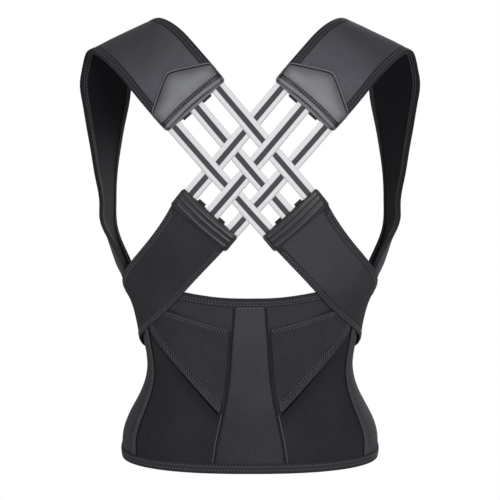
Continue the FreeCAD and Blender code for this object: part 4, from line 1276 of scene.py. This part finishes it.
class BRACE_OT_lower_tabs(bpy.types.Operator):
    """Make the pressed tabs that join the woven elastic to the cross straps"""
    bl_idname = "brace.lower_tabs"
    bl_label = "Lower tabs"

    def execute(self, context):
        m = finishes(context)
        sizes = thread_sizes(context)
        for side, name, mirror in both_sides():
            wave = ripple(61 + side, 24.0, 60.0, 0.08)

            def relief(S, T, LS, LT):
                ends = ease((np.minimum(S, LS - S) - 3.0) / 4.0)
                out = 0.6 * np.sin(np.pi * np.clip(T / LT, 0, 1)) ** 0.5 - 0.3
                for at, size in TAB_RIDGES:
                    out = out + 1.5 * size * dip(T, at, 0.9) * ends
                out = out - 0.5 * dip(T, TAB_ROW, 0.8) - 0.3 * dip(np.minimum(S, LS - S), TAB_END_ROW, 0.6)
                return out + wave(S, T)

            # painted highlights along the three ridges, painted shade along the stitch rows, and the whole
            # tab a little darker
            def shade(S, T, LS, LT):
                ends = ease((np.minimum(S, LS - S) - 3.5) / 5.0)
                out = 0.35 + 0.3 * dip(T, TAB_ROW, 1.2)
                out = out + 0.3 * dip(np.minimum(S, LS - S), TAB_END_ROW, 1.2)
                for at, size in TAB_RIDGES:
                    out = out - 1.2 * size * dip(T, at, 0.55) * ends
                return out
            cloth = Cloth("lower_tab_cover_" + name)
            ends = ((TAB_END_ROW, 0.6), (TAB_LENGTH - TAB_END_ROW, 0.6))
            lines = [(2.6, 0.6)] + [(at, 1.1) for at, _ in TAB_RIDGES]
            laid = lay_sheet(cloth, tab_base, ticks(TAB_LENGTH, 2.4, ends), ticks(TAB_WIDTH, 0.8, lines),
                             D_TAB, D_TAB + LEATHER_THICK, relief, edge=1.3, shade=shade)
            bold = dict(sizes, pitch=3.4, length=2.4, radius=0.6)
            row(cloth, tab_base, np.linspace(0.03, 0.97, 120), TAB_ROW / TAB_WIDTH,
                D_TAB + LEATHER_THICK - 0.1, 1, bold, holes=False)
            for u in (0.031, 0.969):
                row(cloth, tab_base, u, np.linspace(0.12, 0.9, 40), D_TAB + LEATHER_THICK + 0.1, 1, bold,
                    holes=False)
            obj = cloth.make([m["tab"], m["thread_tab"], m["hole"]], mirror)
            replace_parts(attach(obj, "brace_body"), "lower_tab_" + name)
            cloth_sheet(obj, laid)
            cloth = Cloth("lower_tab_backing_cover_" + name)
            laid = lay_sheet(cloth, tab_base, ticks(TAB_LENGTH, 3.0), ticks(TAB_WIDTH, 2.0), 0.0,
                             BACKING_THICK)
            for mid in (0.32, 0.68):
                lay_sheet(cloth, lambda U, V: flat_tab(mid + 0.06 * (2.0 * U - 1.0), lerp(-0.12, 0.3, V)),
                          ticks(11.0, 2.0), ticks(10.0, 1.5), 0.05, BACKING_THICK + 0.05)
            obj = cloth.make([m["patch_back"]], mirror)
            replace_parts(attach(obj, "brace_body"), "lower_tab_backing_" + name)
            cloth_sheet(obj, laid)
        return {"FINISHED"}


# ------------------------------------------------------------------ upper patches
PATCH_IN = (30.0, 500.5)
PATCH_OUT = (103.0, 435.5)
PATCH_LENGTH = math.hypot(PATCH_OUT[0] - PATCH_IN[0], PATCH_OUT[1] - PATCH_IN[1])
PATCH_SIDE = 30.0
PATCH_APEX = 55.0
STRAP_TUCK = 15.0
D_PATCH = STRAP_STACK + GAP + TAPE_THICK + GAP
D_PATCH_EDGE = D_BAND_END + BAND_THICK + GAP
PATCH_LIP = 4.6
PATCH_ROWS = (11.6, 14.2)
PATCH_INSET = 3.0


def roof(u):
    """Height of the patch above the bands, with rounded shoulders."""
    e = np.clip(np.minimum(u, 1.0 - u) * PATCH_LENGTH / 6.0, 0.0, 1.0)
    round_off = 4.5 * (1.0 - np.sqrt(np.clip(1.0 - (1.0 - e) ** 2, 0.0, 1.0)))
    top = 1.0 - np.sqrt((2.0 * u - 1.0) ** 2 + 0.01)
    return PATCH_SIDE + (PATCH_APEX - PATCH_SIDE) * top / 0.9 - round_off


def patch_base(depth):
    """Base of the patch from its lower edge up to depth(u), its corners rounded."""
    ex, ez = [(b - a) / PATCH_LENGTH for a, b in zip(PATCH_IN, PATCH_OUT)]

    def base(U, V):
        t = V * depth(U)
        s = rounded_span(U, t, 5.0, PATCH_LENGTH) * PATCH_LENGTH
        x = PATCH_IN[0] + ex * s - ez * t
        z = PATCH_IN[1] + ez * s + ex * t
        return form_base(phi_of_x(x, z), z)
    return base


class BRACE_OT_upper_patches(bpy.types.Operator):
    """Make the grained patches that join the woven elastic to the shoulder straps"""
    bl_idname = "brace.upper_patches"
    bl_label = "Upper patches"

    def execute(self, context):
        m = finishes(context)
        sizes = thread_sizes(context)
        base = patch_base(roof)

        def low(U, V):
            return lerp(D_PATCH_EDGE, D_PATCH, ease((V * roof(U) - 6.0) / (STRAP_TUCK - 8.0)))
        for side, name, mirror in both_sides():
            wave = ripple(71 + side, 16.0, 45.0, 0.22)

            def relief(S, T, LS, LT):
                side_way = np.minimum(S, LS - S)
                e = np.minimum(side_way, LT - T)
                out = 2.2 * np.sqrt(np.clip((np.minimum(e, T - 12.6) - 2.6) / 18.0, 0, 1))
                roll = np.clip((T - PATCH_LIP - 0.4) / (PATCH_ROWS[0] - PATCH_LIP - 1.0), 0, 1)
                out = out + 1.7 * np.sin(np.pi * roll) ** 0.6 * ease(side_way / 4.0)
                out = out - 0.7 * dip(e, PATCH_INSET, 0.9) - 0.5 * dip(T, PATCH_LIP, 0.8)
                for at in PATCH_ROWS:
                    out = out - 0.6 * dip(T, at, 0.8)
                return out + wave(S, T) * ease(e / 8.0) * ease((T - STRAP_TUCK) / 6.0)

            # painted shade in the stitched grooves and towards the edges, painted highlights on the roll and
            # in the middle, and a paler thin rim along the edge
            def shade(S, T, LS, LT):
                e = np.minimum(np.minimum(S, LS - S), LT - T)
                out = 0.75 * dip(e, PATCH_INSET, 1.1) + 0.7 * dip(T, PATCH_LIP, 1.1)
                for at in PATCH_ROWS:
                    out = out + 0.85 * dip(T, at, 0.9)
                out = out + 0.42 * (1.0 - ease((e - 4.0) / 12.0)) * ease((T - 6.0) / 4.0)
                out = out - 0.7 * dip(e, 0.7, 0.7)
                out = out - 0.35 * ease((e - 9.0) / 14.0) * ease((T - STRAP_TUCK) / 10.0)
                return out - 0.3 * dip(T, 8.0, 1.6)
            cloth = Cloth("upper_patch_cover_" + name)
            ends = ((PATCH_INSET, 0.8), (PATCH_LENGTH - PATCH_INSET, 0.8))
            laid = lay_sheet(cloth, base, ticks(PATCH_LENGTH, 2.2, ends),
                             ticks(45.0, 0.7, ((42.4, 0.7), (1.6, 0.6))), low,
                             lambda U, V: low(U, V) + LEATHER_THICK, relief, edge=1.5, shade=shade)
            u0, u1 = PATCH_INSET / PATCH_LENGTH, 1.0 - PATCH_INSET / PATCH_LENGTH
            up = np.linspace(3.5, 24.5, 40)
            us = np.concatenate([np.full(40, u0), np.linspace(u0, u1, 160), np.full(40, u1)])
            ts = np.concatenate([up, roof(np.linspace(u0, u1, 160)) - PATCH_INSET * 1.12, up[::-1]])
            vs = ts / roof(us)
            bold = dict(sizes, pitch=3.7, length=2.9, radius=0.62)
            row(cloth, base, us, vs, low(us, vs) + LEATHER_THICK - 0.1, 2, bold, holes=False)
            us = np.linspace(u0, u1, 120)
            for t in (PATCH_LIP,) + PATCH_ROWS:
                vs = t / roof(us)
                row(cloth, base, us, vs, low(us, vs) + LEATHER_THICK, 2, bold, holes=False)
            vs = sum(PATCH_ROWS) / 2.0 / roof(us)
            row(cloth, base, us, vs, low(us, vs) + LEATHER_THICK + 0.1, 1,
                dict(bold, length=1.7, radius=0.42), 0.5, holes=False)
            obj = cloth.make([m["patch"], m["thread_pale"], m["hole"]], mirror)
            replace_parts(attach(obj, "brace_body"), "upper_patch_" + name)
            cloth_sheet(obj, laid)
            cloth = Cloth("upper_patch_backing_cover_" + name)
            back = patch_base(lambda U: STRAP_TUCK - 2.4 + 0.0 * U)
            laid = lay_sheet(cloth, back, ticks(PATCH_LENGTH, 3.0), ticks(12.6, 2.0), 0.0, BACKING_THICK)
            for mid in (0.317, 0.683):
                lay_sheet(cloth, lambda U, V: back(mid + 0.08 * (2.0 * U - 1.0), lerp(-0.2, 0.3, V)),
                          ticks(11.0, 2.0), ticks(6.0, 1.5), 0.05, BACKING_THICK + 0.05)
            obj = cloth.make([m["patch_back"]], mirror)
            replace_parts(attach(obj, "brace_body"), "upper_patch_backing_" + name)
            cloth_sheet(obj, laid)
        return {"FINISHED"}


# ------------------------------------------------------------------ woven elastic
BAND_TOP = [(37.5, 489.0), (65.0, 466.0), (92.5, 441.0)]
BAND_END = [(73.0, 359.5), (46.0, 336.0), (21.0, 313.5)]
BAND_TUCK = 11.0
BAND_EDGE_LINE = 1.3


def band_line(side, k):
    """Ends of band k, from the shoulder on one side to the hip on the other."""
    return (side * BAND_TOP[k][0], BAND_TOP[k][1]), (-side * BAND_END[k][0], BAND_END[k][1])


def crossing(p, q):
    """Distance along line p at which it meets line q."""
    (ax, az), (bx, bz) = p
    (cx, cz), (dx, dz) = q
    rx, rz, sx, sz = bx - ax, bz - az, dx - cx, dz - cz
    return ((cx - ax) * sz - (cz - az) * sx) / (rx * sz - rz * sx) * math.hypot(rx, rz)


def weave(marks, s, width):
    """Smooth over-and-under value at distances s from (distance, sign) marks."""
    flat = width / 2.0 + 0.9
    knots = [(marks[0][0] - flat - 13.0, 0.0)]
    for at, sign in marks:
        knots += [(at - flat, sign), (at + flat, sign)]
    knots.append((marks[-1][0] + flat + 13.0, 0.0))
    ks, vs = np.array(knots).T
    i = np.clip(np.searchsorted(ks, s) - 1, 0, len(ks) - 2)
    out = lerp(vs[i], vs[i + 1], ease((s - ks[i]) / (ks[i + 1] - ks[i])))
    return np.where((s <= ks[0]) | (s >= ks[-1]), 0.0, out)


class BRACE_OT_woven_elastic(bpy.types.Operator):
    """Make the six striped elastic bands that cross on the back, over and under each other"""
    bl_idname = "brace.woven_elastic"
    bl_label = "Woven elastic"

    def execute(self, context):
        m = finishes(context)
        width = context.scene.brace_sizes.band_width * 1000.0
        for side, letter in ((-1, "a"), (1, "b")):
            for k in range(3):
                a, b = band_line(side, k)
                length = math.hypot(b[0] - a[0], b[1] - a[1])
                ux, uz = (b[0] - a[0]) / length, (b[1] - a[1]) / length
                marks = sorted((crossing((a, b), band_line(-side, j)),
                                (1.0 if (k + j) % 2 == 0 else -1.0) * -side) for j in range(3))

                def base(U, V):
                    s = lerp(-BAND_TUCK, length + BAND_TUCK, U)
                    w = (V - 0.5) * width
                    x = a[0] + ux * s - uz * w
                    z = a[1] + uz * s + ux * w
                    return form_base(phi_of_x(x, z), z)

                def low(U, V):
                    s = lerp(-BAND_TUCK, length + BAND_TUCK, U)
                    return D_BAND_END + WEAVE_LIFT * weave(marks, s, width)
                wave = ripple(80 + k + 5 * side, 25.0, 60.0, 0.15)

                def relief(S, T, LS, LT):
                    out = -0.12 * dip(T, BAND_EDGE_LINE, 0.35) - 0.12 * dip(LT - T, BAND_EDGE_LINE, 0.35)
                    for at in (LT / 2 - 3.4, LT / 2 + 3.4):
                        out = out - 0.1 * dip(T, at, 0.4)
                    return out + wave(S, T)
                lines = ((BAND_EDGE_LINE, 0.4), (width - BAND_EDGE_LINE, 0.4))
                cloth = Cloth("elastic_band_%s%d_woven" % (letter, k + 1))
                laid = lay_sheet(cloth, base, ticks(length + 2.0 * BAND_TUCK, 2.2), ticks(width, 1.2, lines),
                                 low, lambda U, V: low(U, V) + BAND_THICK, relief, edge=0.6)
                obj = cloth.make([m["elastic_" + letter]])
                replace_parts(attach(obj, "brace_body"),
                            "elastic_band_%s%d" % (letter, k + 1))
                cloth_sheet(obj, laid)
        return {"FINISHED"}


# ------------------------------------------------------------------ shoulder straps
# each station: a point on the strap's middle line, and the direction from there to its inner edge
STRAP_STATIONS = [
    ((76.0, -118.0, 478.5), (-0.747, 0.02, 0.665)), ((94.0, -106.0, 499.0), (-0.75, 0.02, 0.66)),
    ((116.0, -80.0, 523.0), (-0.79, 0.0, 0.60)), ((140.0, -46.0, 544.0), (-0.85, 0.0, 0.50)),
    ((162.0, -12.0, 553.5), (-0.90, 0.02, 0.43)), ((171.5, 14.0, 546.0), (-0.87, 0.18, 0.43)),
    ((180.5, 36.0, 524.0), (-0.77, 0.46, 0.36)), ((189.0, 51.0, 496.0), (-0.65, 0.72, 0.20)),
    ((190.4, 58.0, 465.0), (-0.55, 0.83, 0.05)), ((191.2, 56.0, 435.0), (-0.43, 0.90, 0.0)),
    ((190.7, 47.0, 403.0), (-0.305, 0.952, 0.0)), ((189.6, 35.0, 372.0), (-0.20, 0.98, 0.0)),
    ((187.0, 22.0, 341.0), (-0.12, 0.993, 0.0)), ((186.7, 10.0, 312.0), (-0.105, 0.995, 0.0)),
    ((184.0, 0.0, 283.0), (0.0, 1.0, 0.0)), ((176.0, -4.0, 252.0), (0.0, 1.0, 0.0)),
]
STRAP_LEAVES_BACK = (0.03, 0.13)
STRAP_MEETS_BELT = (0.85, 0.135)
STRAP_SETTLES = (0.78, 0.22)
STRAP_FOOT = (71.0, 107.0)
STRAP_STEPS = [math.dist(a[0], b[0]) for a, b in zip(STRAP_STATIONS, STRAP_STATIONS[1:])]
STRAP_LENGTH = sum(STRAP_STEPS)
STRAP_KEYS = [sum(STRAP_STEPS[:i]) / STRAP_LENGTH for i in range(len(STRAP_STATIONS))]
STRAP_LINES = [Smooth(STRAP_KEYS, [s[j][i] for s in STRAP_STATIONS]) for j in (0, 1) for i in range(3)]


def passed(t, stretch):
    """Share of a stretch (start, length) that lies behind t."""
    return ease((t - stretch[0]) / stretch[1])


def strap_point(t, w):
    """Inner face of the right shoulder strap; t along it, w in mm from its middle to the inner edge."""
    t, w = np.broadcast_arrays(np.asarray(t, float), np.asarray(w, float))
    c = np.stack([f(t) for f in STRAP_LINES[:3]], -1)
    p = c + unit(np.stack([f(t) for f in STRAP_LINES[3:]], -1)) * w[..., None]
    on_back = 1.0 - passed(t, STRAP_LEAVES_BACK)
    y = form_point(phi_of_x(p[..., 0], p[..., 2]), p[..., 2])[..., 1]
    p[..., 1] = lerp(p[..., 1], y, on_back)
    on_side = passed(t, STRAP_MEETS_BELT)
    phi = lerp(*STRAP_FOOT, w / STRAP_WIDTH + 0.5)
    low = belt_top(phi) + GAP + TAPE_THICK + 0.03
    z = p[..., 2] + (low - STRAP_STATIONS[-1][0][2]) * passed(t, STRAP_SETTLES)
    return p + (form_point(phi, z) - p) * on_side[..., None]


def strap_base(t, w):
    """Points of the strap's inner face with their outward normals."""
    t, w = np.broadcast_arrays(np.asarray(t, float), np.asarray(w, float))
    ahead = strap_point(np.minimum(1.0, t + 0.004), w) - strap_point(np.maximum(0.0, t - 0.004), w)
    across = strap_point(t, w + 1.0) - strap_point(t, w - 1.0)
    return strap_point(t, w), unit(np.cross(ahead, across))


class BRACE_OT_shoulder_straps(bpy.types.Operator):
    """Make the shoulder straps with their lining and folded bindings"""
    bl_idname = "brace.shoulder_straps"
    bl_label = "Shoulder straps"

    def execute(self, context):
        m = finishes(context)
        sizes = thread_sizes(context)
        width = context.scene.brace_sizes.binding_width * 1000.0
        strap_wide = 2.0 * STRAP_HALF
        for side, name, mirror in both_sides():
            wave = ripple(91 + side, 30.0, 75.0, 0.35)
            fine = ripple(95 + side, 12.0, 24.0, 0.08)

            def relief(S, T, LS, LT):
                x = 2.0 * T / LT - 1.0
                free = ease((S - 14.0) / 25.0) * ease((LS - S) / 12.0)
                swell = 0.9 * (1.0 - x * x)
                rise = ease((np.minimum(T, LT - T) - 9.0) / 2.6)
                soft = (swell + wave(S * 0.7, T) + fine(S, T)) * free * rise
                return soft + 0.95 * rise * ease((S - 52.0) / 12.0)

            # painted shade where the strap bends over the crest of the shoulder, and a faint painted
            # highlight between the patch and the crest
            def crest_shade_and_sheen(S, T, LS, LT):
                return 0.5 * dip(S, 128.0, 34.0) - 0.14 * dip(S, 55.0, 30.0)

            def base(U, V):
                return strap_base(U, lerp(-STRAP_HALF, STRAP_HALF, V))
            us = ticks(STRAP_LENGTH, 4.0)
            edges = ((9.3, 1.0), (11.0, 1.0), (strap_wide - 11.0, 1.0), (strap_wide - 9.3, 1.0))
            cloth = Cloth("shoulder_strap_shell_" + name)
            laid = lay_sheet(cloth, base, us, ticks(strap_wide, 4.0, edges), LINING_THICK + GAP, STRAP_STACK,
                             relief, soft=(1, 0, 1, 1), shade=crest_shade_and_sheen)
            obj = cloth.make([m["strap"]], mirror)
            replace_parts(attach(obj, "brace_body"), "shoulder_strap_" + name)
            cloth_sheet(obj, laid)
            cloth = Cloth("shoulder_strap_lining_" + name)
            # painted shade: the lining darker towards the strap's front end
            laid = lay_sheet(cloth, base, us, ticks(strap_wide, 5.0), 0.0, LINING_THICK, soft=(1, 0, 1, 1),
                             shade=lambda S, T, LS, LT: 0.75 * ease((S - 220.0) / 150.0))
            obj = cloth.make([m["lining"]], mirror)
            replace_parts(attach(obj, "brace_body"), "shoulder_lining_" + name)
            cloth_sheet(obj, laid)
            cloth = Cloth("shoulder_strap_bindings_" + name)

            # painted shade: the bindings darker on the strap's front part, fading back out near its lower end
            def front_painted_shade(t):
                s = t * STRAP_LENGTH
                return 0.7 * ease((s - 130.0) / 60.0) * (1.0 - ease((s - STRAP_LENGTH + 110.0) / 60.0))
            for sign in (1.0, -1.0):
                def edge(t, s, sign=sign):
                    return strap_base(t, sign * (STRAP_HALF - s))
                rim_piece(cloth, edge, np.linspace(0.0, 1.0, 150), width, sizes, STRAP_STACK, 0.45,
                          shade=front_painted_shade)
            obj = cloth.make([m["binding"], m["thread"], m["hole"]], mirror)
            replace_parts(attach(obj, "brace_body"), "shoulder_bindings_" + name)
        return {"FINISHED"}


# ------------------------------------------------------------------ front flaps and closure
CLOSURE_LOW = 26.0
CLOSURE_DROP = 22.0
CLOSURE_TALL = 117.0
CLOSURE_ROW = 2.5


def band_base(low, high, lift):
    """Base around the front; u is the angle, v the share of the height from low to high."""
    def base(phi, V):
        P, N = form_base(phi, lerp(low(phi), high(phi), V))
        return P + N * lift(phi)[..., None], N
    return base


class BRACE_OT_front_flaps(bpy.types.Operator):
    """Make the two front flaps with their bindings and the hook and loop closure"""
    bl_idname = "brace.front_flaps"
    bl_label = "Front flaps"

    def execute(self, context):
        m = finishes(context)
        sizes = thread_sizes(context)
        width = context.scene.brace_sizes.binding_width * 1000.0
        start = HINGE_ANGLE - SEAM_ANGLE + BUTT_ANGLE
        hem_z = HEM_CLEAR + FLAP_HEM_LIFT
        hem_width = width * HEM_TAPE_SHARE

        def hem_line(phi):
            return hem_z + 0.0 * phi
        for side, name, mirror in both_sides():
            lift = flap_lift if side > 0 else no_lift
            body = name + "_front_flap"
            wave = ripple(101 + side, 40.0, 95.0, CLOTH_WAVE)
            flap = band_base(hem_line, belt_top, lift)
            cloth = Cloth("front_flap_cloth_" + name)
            laid = lay_sheet(cloth, flap, start + (FLAP_END - start) * ticks(155.0, 4.0), ticks(190.0, 4.5),
                             0.0, BELT_THICK, lambda S, T, LS, LT: np.minimum(wave(S, T) - 0.1, 0.2),
                             mats=(0, 1))

            def upright(v, t):
                return flap(start + t / 2.2, v)
            cover(cloth, upright, np.linspace(0.07, 0.935, 200), -2.6, 2.6, BELT_THICK + 0.05, 2, sizes)
            obj = cloth.make([m["side"], m["lining"], m["thread"], m["hole"]], mirror)
            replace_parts(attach(obj, body), "front_flap_" + name)
            cloth_sheet(obj, laid)
            cloth = Cloth("front_flap_binding_" + name)
            us = np.linspace(start, FLAP_END - 0.9, 70)
            rim_piece(cloth, rim_base(belt_top, -1.0, lift), us, width, sizes)
            rim_piece(cloth, rim_base(hem_line, 1.0, lift), us, hem_width, sizes)

            def end_base(z, s):
                P = form_point(180.0, z)
                phi = FLAP_END - s * np.degrees(1.0 / P[..., 1])
                P, N = form_base(phi, z)
                return P + N * lift(phi)[..., None], N
            zs = np.linspace(hem_z + hem_width + 0.6, BELT_FRONT_HEIGHT - width - 0.6, 40)
            rim_piece(cloth, end_base, zs, width, sizes)
            obj = cloth.make([m["binding"], m["thread"], m["hole"]], mirror)
            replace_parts(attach(obj, body), "front_flap_bindings_" + name)
        edge = FLAP_END - 6.0

        def closure_low(phi):
            return CLOSURE_LOW + 0.0 * phi

        def closure_top(phi):
            return BELT_FRONT_HEIGHT - CLOSURE_DROP + 0.0 * phi
        for node, a, d0, d1, lift, mirror, body, finish, slot in (
                ("closure_loop_panel", 161.0, D_ON_BELT, D_ON_BELT + HOOK_THICK, no_lift, True,
                 "left_front_flap", "loop", "loop_pile"),
                ("closure_hook_panel", 167.0, -GAP - HOOK_THICK, -GAP, flap_lift, False,
                 "right_front_flap", "hook", "hook_tape")):
            cloth = Cloth(node + "_tape")
            base = band_base(closure_low, closure_top, lift)
            laid = lay_sheet(cloth, base, a + (edge - a) * ticks(60.0, 4.0), ticks(CLOSURE_TALL, 4.0), d0, d1)
            out = d1 if mirror else d0
            for v in (CLOSURE_ROW / CLOSURE_TALL, 1 - CLOSURE_ROW / CLOSURE_TALL):
                row(cloth, base, np.linspace(a + 1.2, edge - 1.2, 60), v, out, 1, sizes, 0, not mirror)
            for u in (a + 1.2, edge - 1.2):
                row(cloth, base, u, np.linspace(0.03, 0.97, 80), out, 1, sizes, 0, not mirror)
            obj = cloth.make([m[finish], m["thread"], m["hole"]], mirror)
            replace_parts(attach(obj, body), node)
            cloth_sheet(obj, laid)
        return {"FINISHED"}


class BRACE_OT_strap_ends(bpy.types.Operator):
    """Make the front ends of the cross straps with their hook tabs, grips and loop pads"""
    bl_idname = "brace.strap_ends"
    bl_label = "Strap ends"

    def execute(self, context):
        m = finishes(context)
        sizes = thread_sizes(context)
        hem = context.scene.brace_sizes.hem_width * 1000.0
        width = 60.0
        for side, name, mirror in both_sides():
            lift = flap_lift if side > 0 else no_lift
            base = ribbon_base(FRONT_KEYS, FRONT_UP, FRONT_LOW, lift)

            def part(t0, t1, w0, w1):
                return lambda U, V: base(lerp(t0, t1, U), lerp(w0, w1, V))
            cloth = Cloth("strap_end_cloth_" + name)
            laid = lay_sheet(cloth, part(0.0, 1.0, 0.0, 1.0), ticks(70.0, 3.5),
                             ticks(width, 3.5, hem_marks(width, hem)), D_CROSS, D_CROSS + CROSS_THICK,
                             strap_relief(hem, 111 + side, 0.2, lambda S, LS: S), soft=(0, 1, 1, 1))
            us = np.linspace(0.01, 0.84, 100)
            a, b = HEM_ROW_OUT / width, (hem - HEM_ROW_IN) / width
            cover(cloth, base, us, a, b, D_CROSS + CROSS_THICK + 0.32, 1, sizes)
            cover(cloth, base, us, 1.0 - a, 1.0 - b, D_CROSS + CROSS_THICK + 0.32, 1, sizes)
            obj = cloth.make([m["cross"], m["thread"], m["hole"]], mirror)
            peel_blend(obj)
            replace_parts(obj, "strap_end_" + name)
            cloth_sheet(obj, laid)
            cloth = Cloth("strap_hook_tape_" + name)
            laid = lay_sheet(cloth, part(0.55, 0.99, 0.1, 0.9), ticks(30.0, 3.0), ticks(48.0, 3.0),
                             D_CROSS - GAP - HOOK_THICK, D_CROSS - GAP)
            obj = cloth.make([m["hook"]], mirror)
            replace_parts(peel_blend(obj), "strap_hook_tab_" + name)
            cloth_sheet(obj, laid)
            cloth = Cloth("strap_loop_tape_" + name)
            wide = part(0.42, 1.12, 0.0, 1.0)
            laid = lay_sheet(cloth, wide, ticks(50.0, 3.0), ticks(width, 3.0), D_ON_BELT,
                             D_ON_BELT + HOOK_THICK)
            for v in (0.04, 0.96):
                row(cloth, wide, np.linspace(0.04, 0.96, 50), v, D_ON_BELT + HOOK_THICK, 1, sizes)
            for u in (0.05, 0.95):
                row(cloth, wide, u, np.linspace(0.05, 0.95, 50), D_ON_BELT + HOOK_THICK, 1, sizes)
            obj = cloth.make([m["loop"], m["thread"], m["hole"]], mirror)
            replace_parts(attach(obj, name + "_front_flap"), "strap_loop_pad_" + name)
            cloth_sheet(obj, laid)
            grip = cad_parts["strap_grip_tab_" + name]
            grip.data.materials.clear()
            grip.data.materials.append(m["rubber"])
        return {"FINISHED"}


# ------------------------------------------------------------------ stage, metres
SKY_LIGHT = 0.28
STAGE_AIM = (0.0, 0.0, 0.3)
LAMPS = (("key", (0.85, -2.4, 0.6), 0.7, 31.0), ("fill", (-1.2, -2.3, 0.5), 1.2, 13.0),
         ("front", (0.5, 2.6, 1.2), 1.6, 48.0))
CAMERA_PLACE = (0.0, -2.598, 0.600)
CAMERA_AIM = (0.0, -0.038, 0.278)
CAMERA_LENS = 142.85
CAMERA_SENSOR = 36.0
WHITE = (1.0, 1.0, 1.0, 1.0)


def turned_to(place, aim):
    """Rotation of a lamp or camera at place that looks at aim."""
    return (Vector(aim) - Vector(place)).to_track_quat("-Z", "Y").to_euler()


class BRACE_OT_stage(bpy.types.Operator):
    """Make the pale surroundings, the lamps and the camera"""
    bl_idname = "brace.stage"
    bl_label = "Stage"

    def execute(self, context):
        scene = context.scene
        world = bpy.data.worlds.new("Studio")
        scene.world = world
        world.use_nodes = True
        sky = world.node_tree.nodes["Background"]
        sky.inputs[0].default_value = WHITE
        sky.inputs[1].default_value = SKY_LIGHT
        tree = world.node_tree
        rays = tree.nodes.new("ShaderNodeLightPath")
        clear = tree.nodes.new("ShaderNodeBackground")
        clear.inputs[0].default_value = WHITE
        clear.inputs[1].default_value = 1.0
        join = tree.nodes.new("ShaderNodeMixShader")
        tree.links.new(rays.outputs["Is Camera Ray"], join.inputs[0])
        tree.links.new(sky.outputs[0], join.inputs[1])
        tree.links.new(clear.outputs[0], join.inputs[2])
        tree.links.new(join.outputs[0], tree.nodes["World Output"].inputs["Surface"])
        for name, place, size, power in LAMPS:
            bpy.ops.object.light_add(type="AREA", location=place)
            lamp = context.object
            lamp.name = name + "_lamp"
            lamp.data.energy = power
            lamp.data.size = size
            lamp.rotation_euler = turned_to(place, STAGE_AIM)
        bpy.ops.object.camera_add(location=CAMERA_PLACE)
        cam = context.object
        cam.rotation_euler = turned_to(CAMERA_PLACE, CAMERA_AIM)
        cam.data.sensor_width = CAMERA_SENSOR
        cam.data.lens = CAMERA_LENS
        scene.camera = cam
        scene.view_settings.view_transform = "Standard"
        return {"FINISHED"}


STEPS = ["belt_panels", "belt_bindings", "support_wings", "piping_and_stays", "cross_straps", "lower_tabs",
         "upper_patches", "woven_elastic", "shoulder_straps", "front_flaps", "strap_ends", "stage"]


class BRACE_PT_panel(bpy.types.Panel):
    """Sizes, colours and steps of the brace"""
    bl_idname = "BRACE_PT_panel"
    bl_label = "Back brace"
    bl_space_type = "VIEW_3D"
    bl_region_type = "UI"
    bl_category = "Brace"

    def draw(self, context):
        layout = self.layout
        for group in (context.scene.brace_sizes, context.scene.brace_colours):
            box = layout.box()
            for key in group.__annotations__:
                box.prop(group, key)
        for step in STEPS:
            layout.operator("brace." + step)


CLASSES = [BraceSizes, BraceColours, BRACE_OT_belt_panels, BRACE_OT_belt_bindings, BRACE_OT_support_wings,
           BRACE_OT_piping_and_stays, BRACE_OT_cross_straps, BRACE_OT_lower_tabs, BRACE_OT_upper_patches,
           BRACE_OT_woven_elastic, BRACE_OT_shoulder_straps, BRACE_OT_front_flaps, BRACE_OT_strap_ends,
           BRACE_OT_stage, BRACE_PT_panel]


def register():
    for c in CLASSES:
        bpy.utils.register_class(c)
    bpy.types.Scene.brace_sizes = bpy.props.PointerProperty(type=BraceSizes)
    bpy.types.Scene.brace_colours = bpy.props.PointerProperty(type=BraceColours)


def unregister():
    del bpy.types.Scene.brace_colours
    del bpy.types.Scene.brace_sizes
    for c in reversed(CLASSES):
        bpy.utils.unregister_class(c)


def main():
    register()
    for step in STEPS:
        getattr(bpy.ops.brace, step)()


if __name__ == "__main__":
    main()
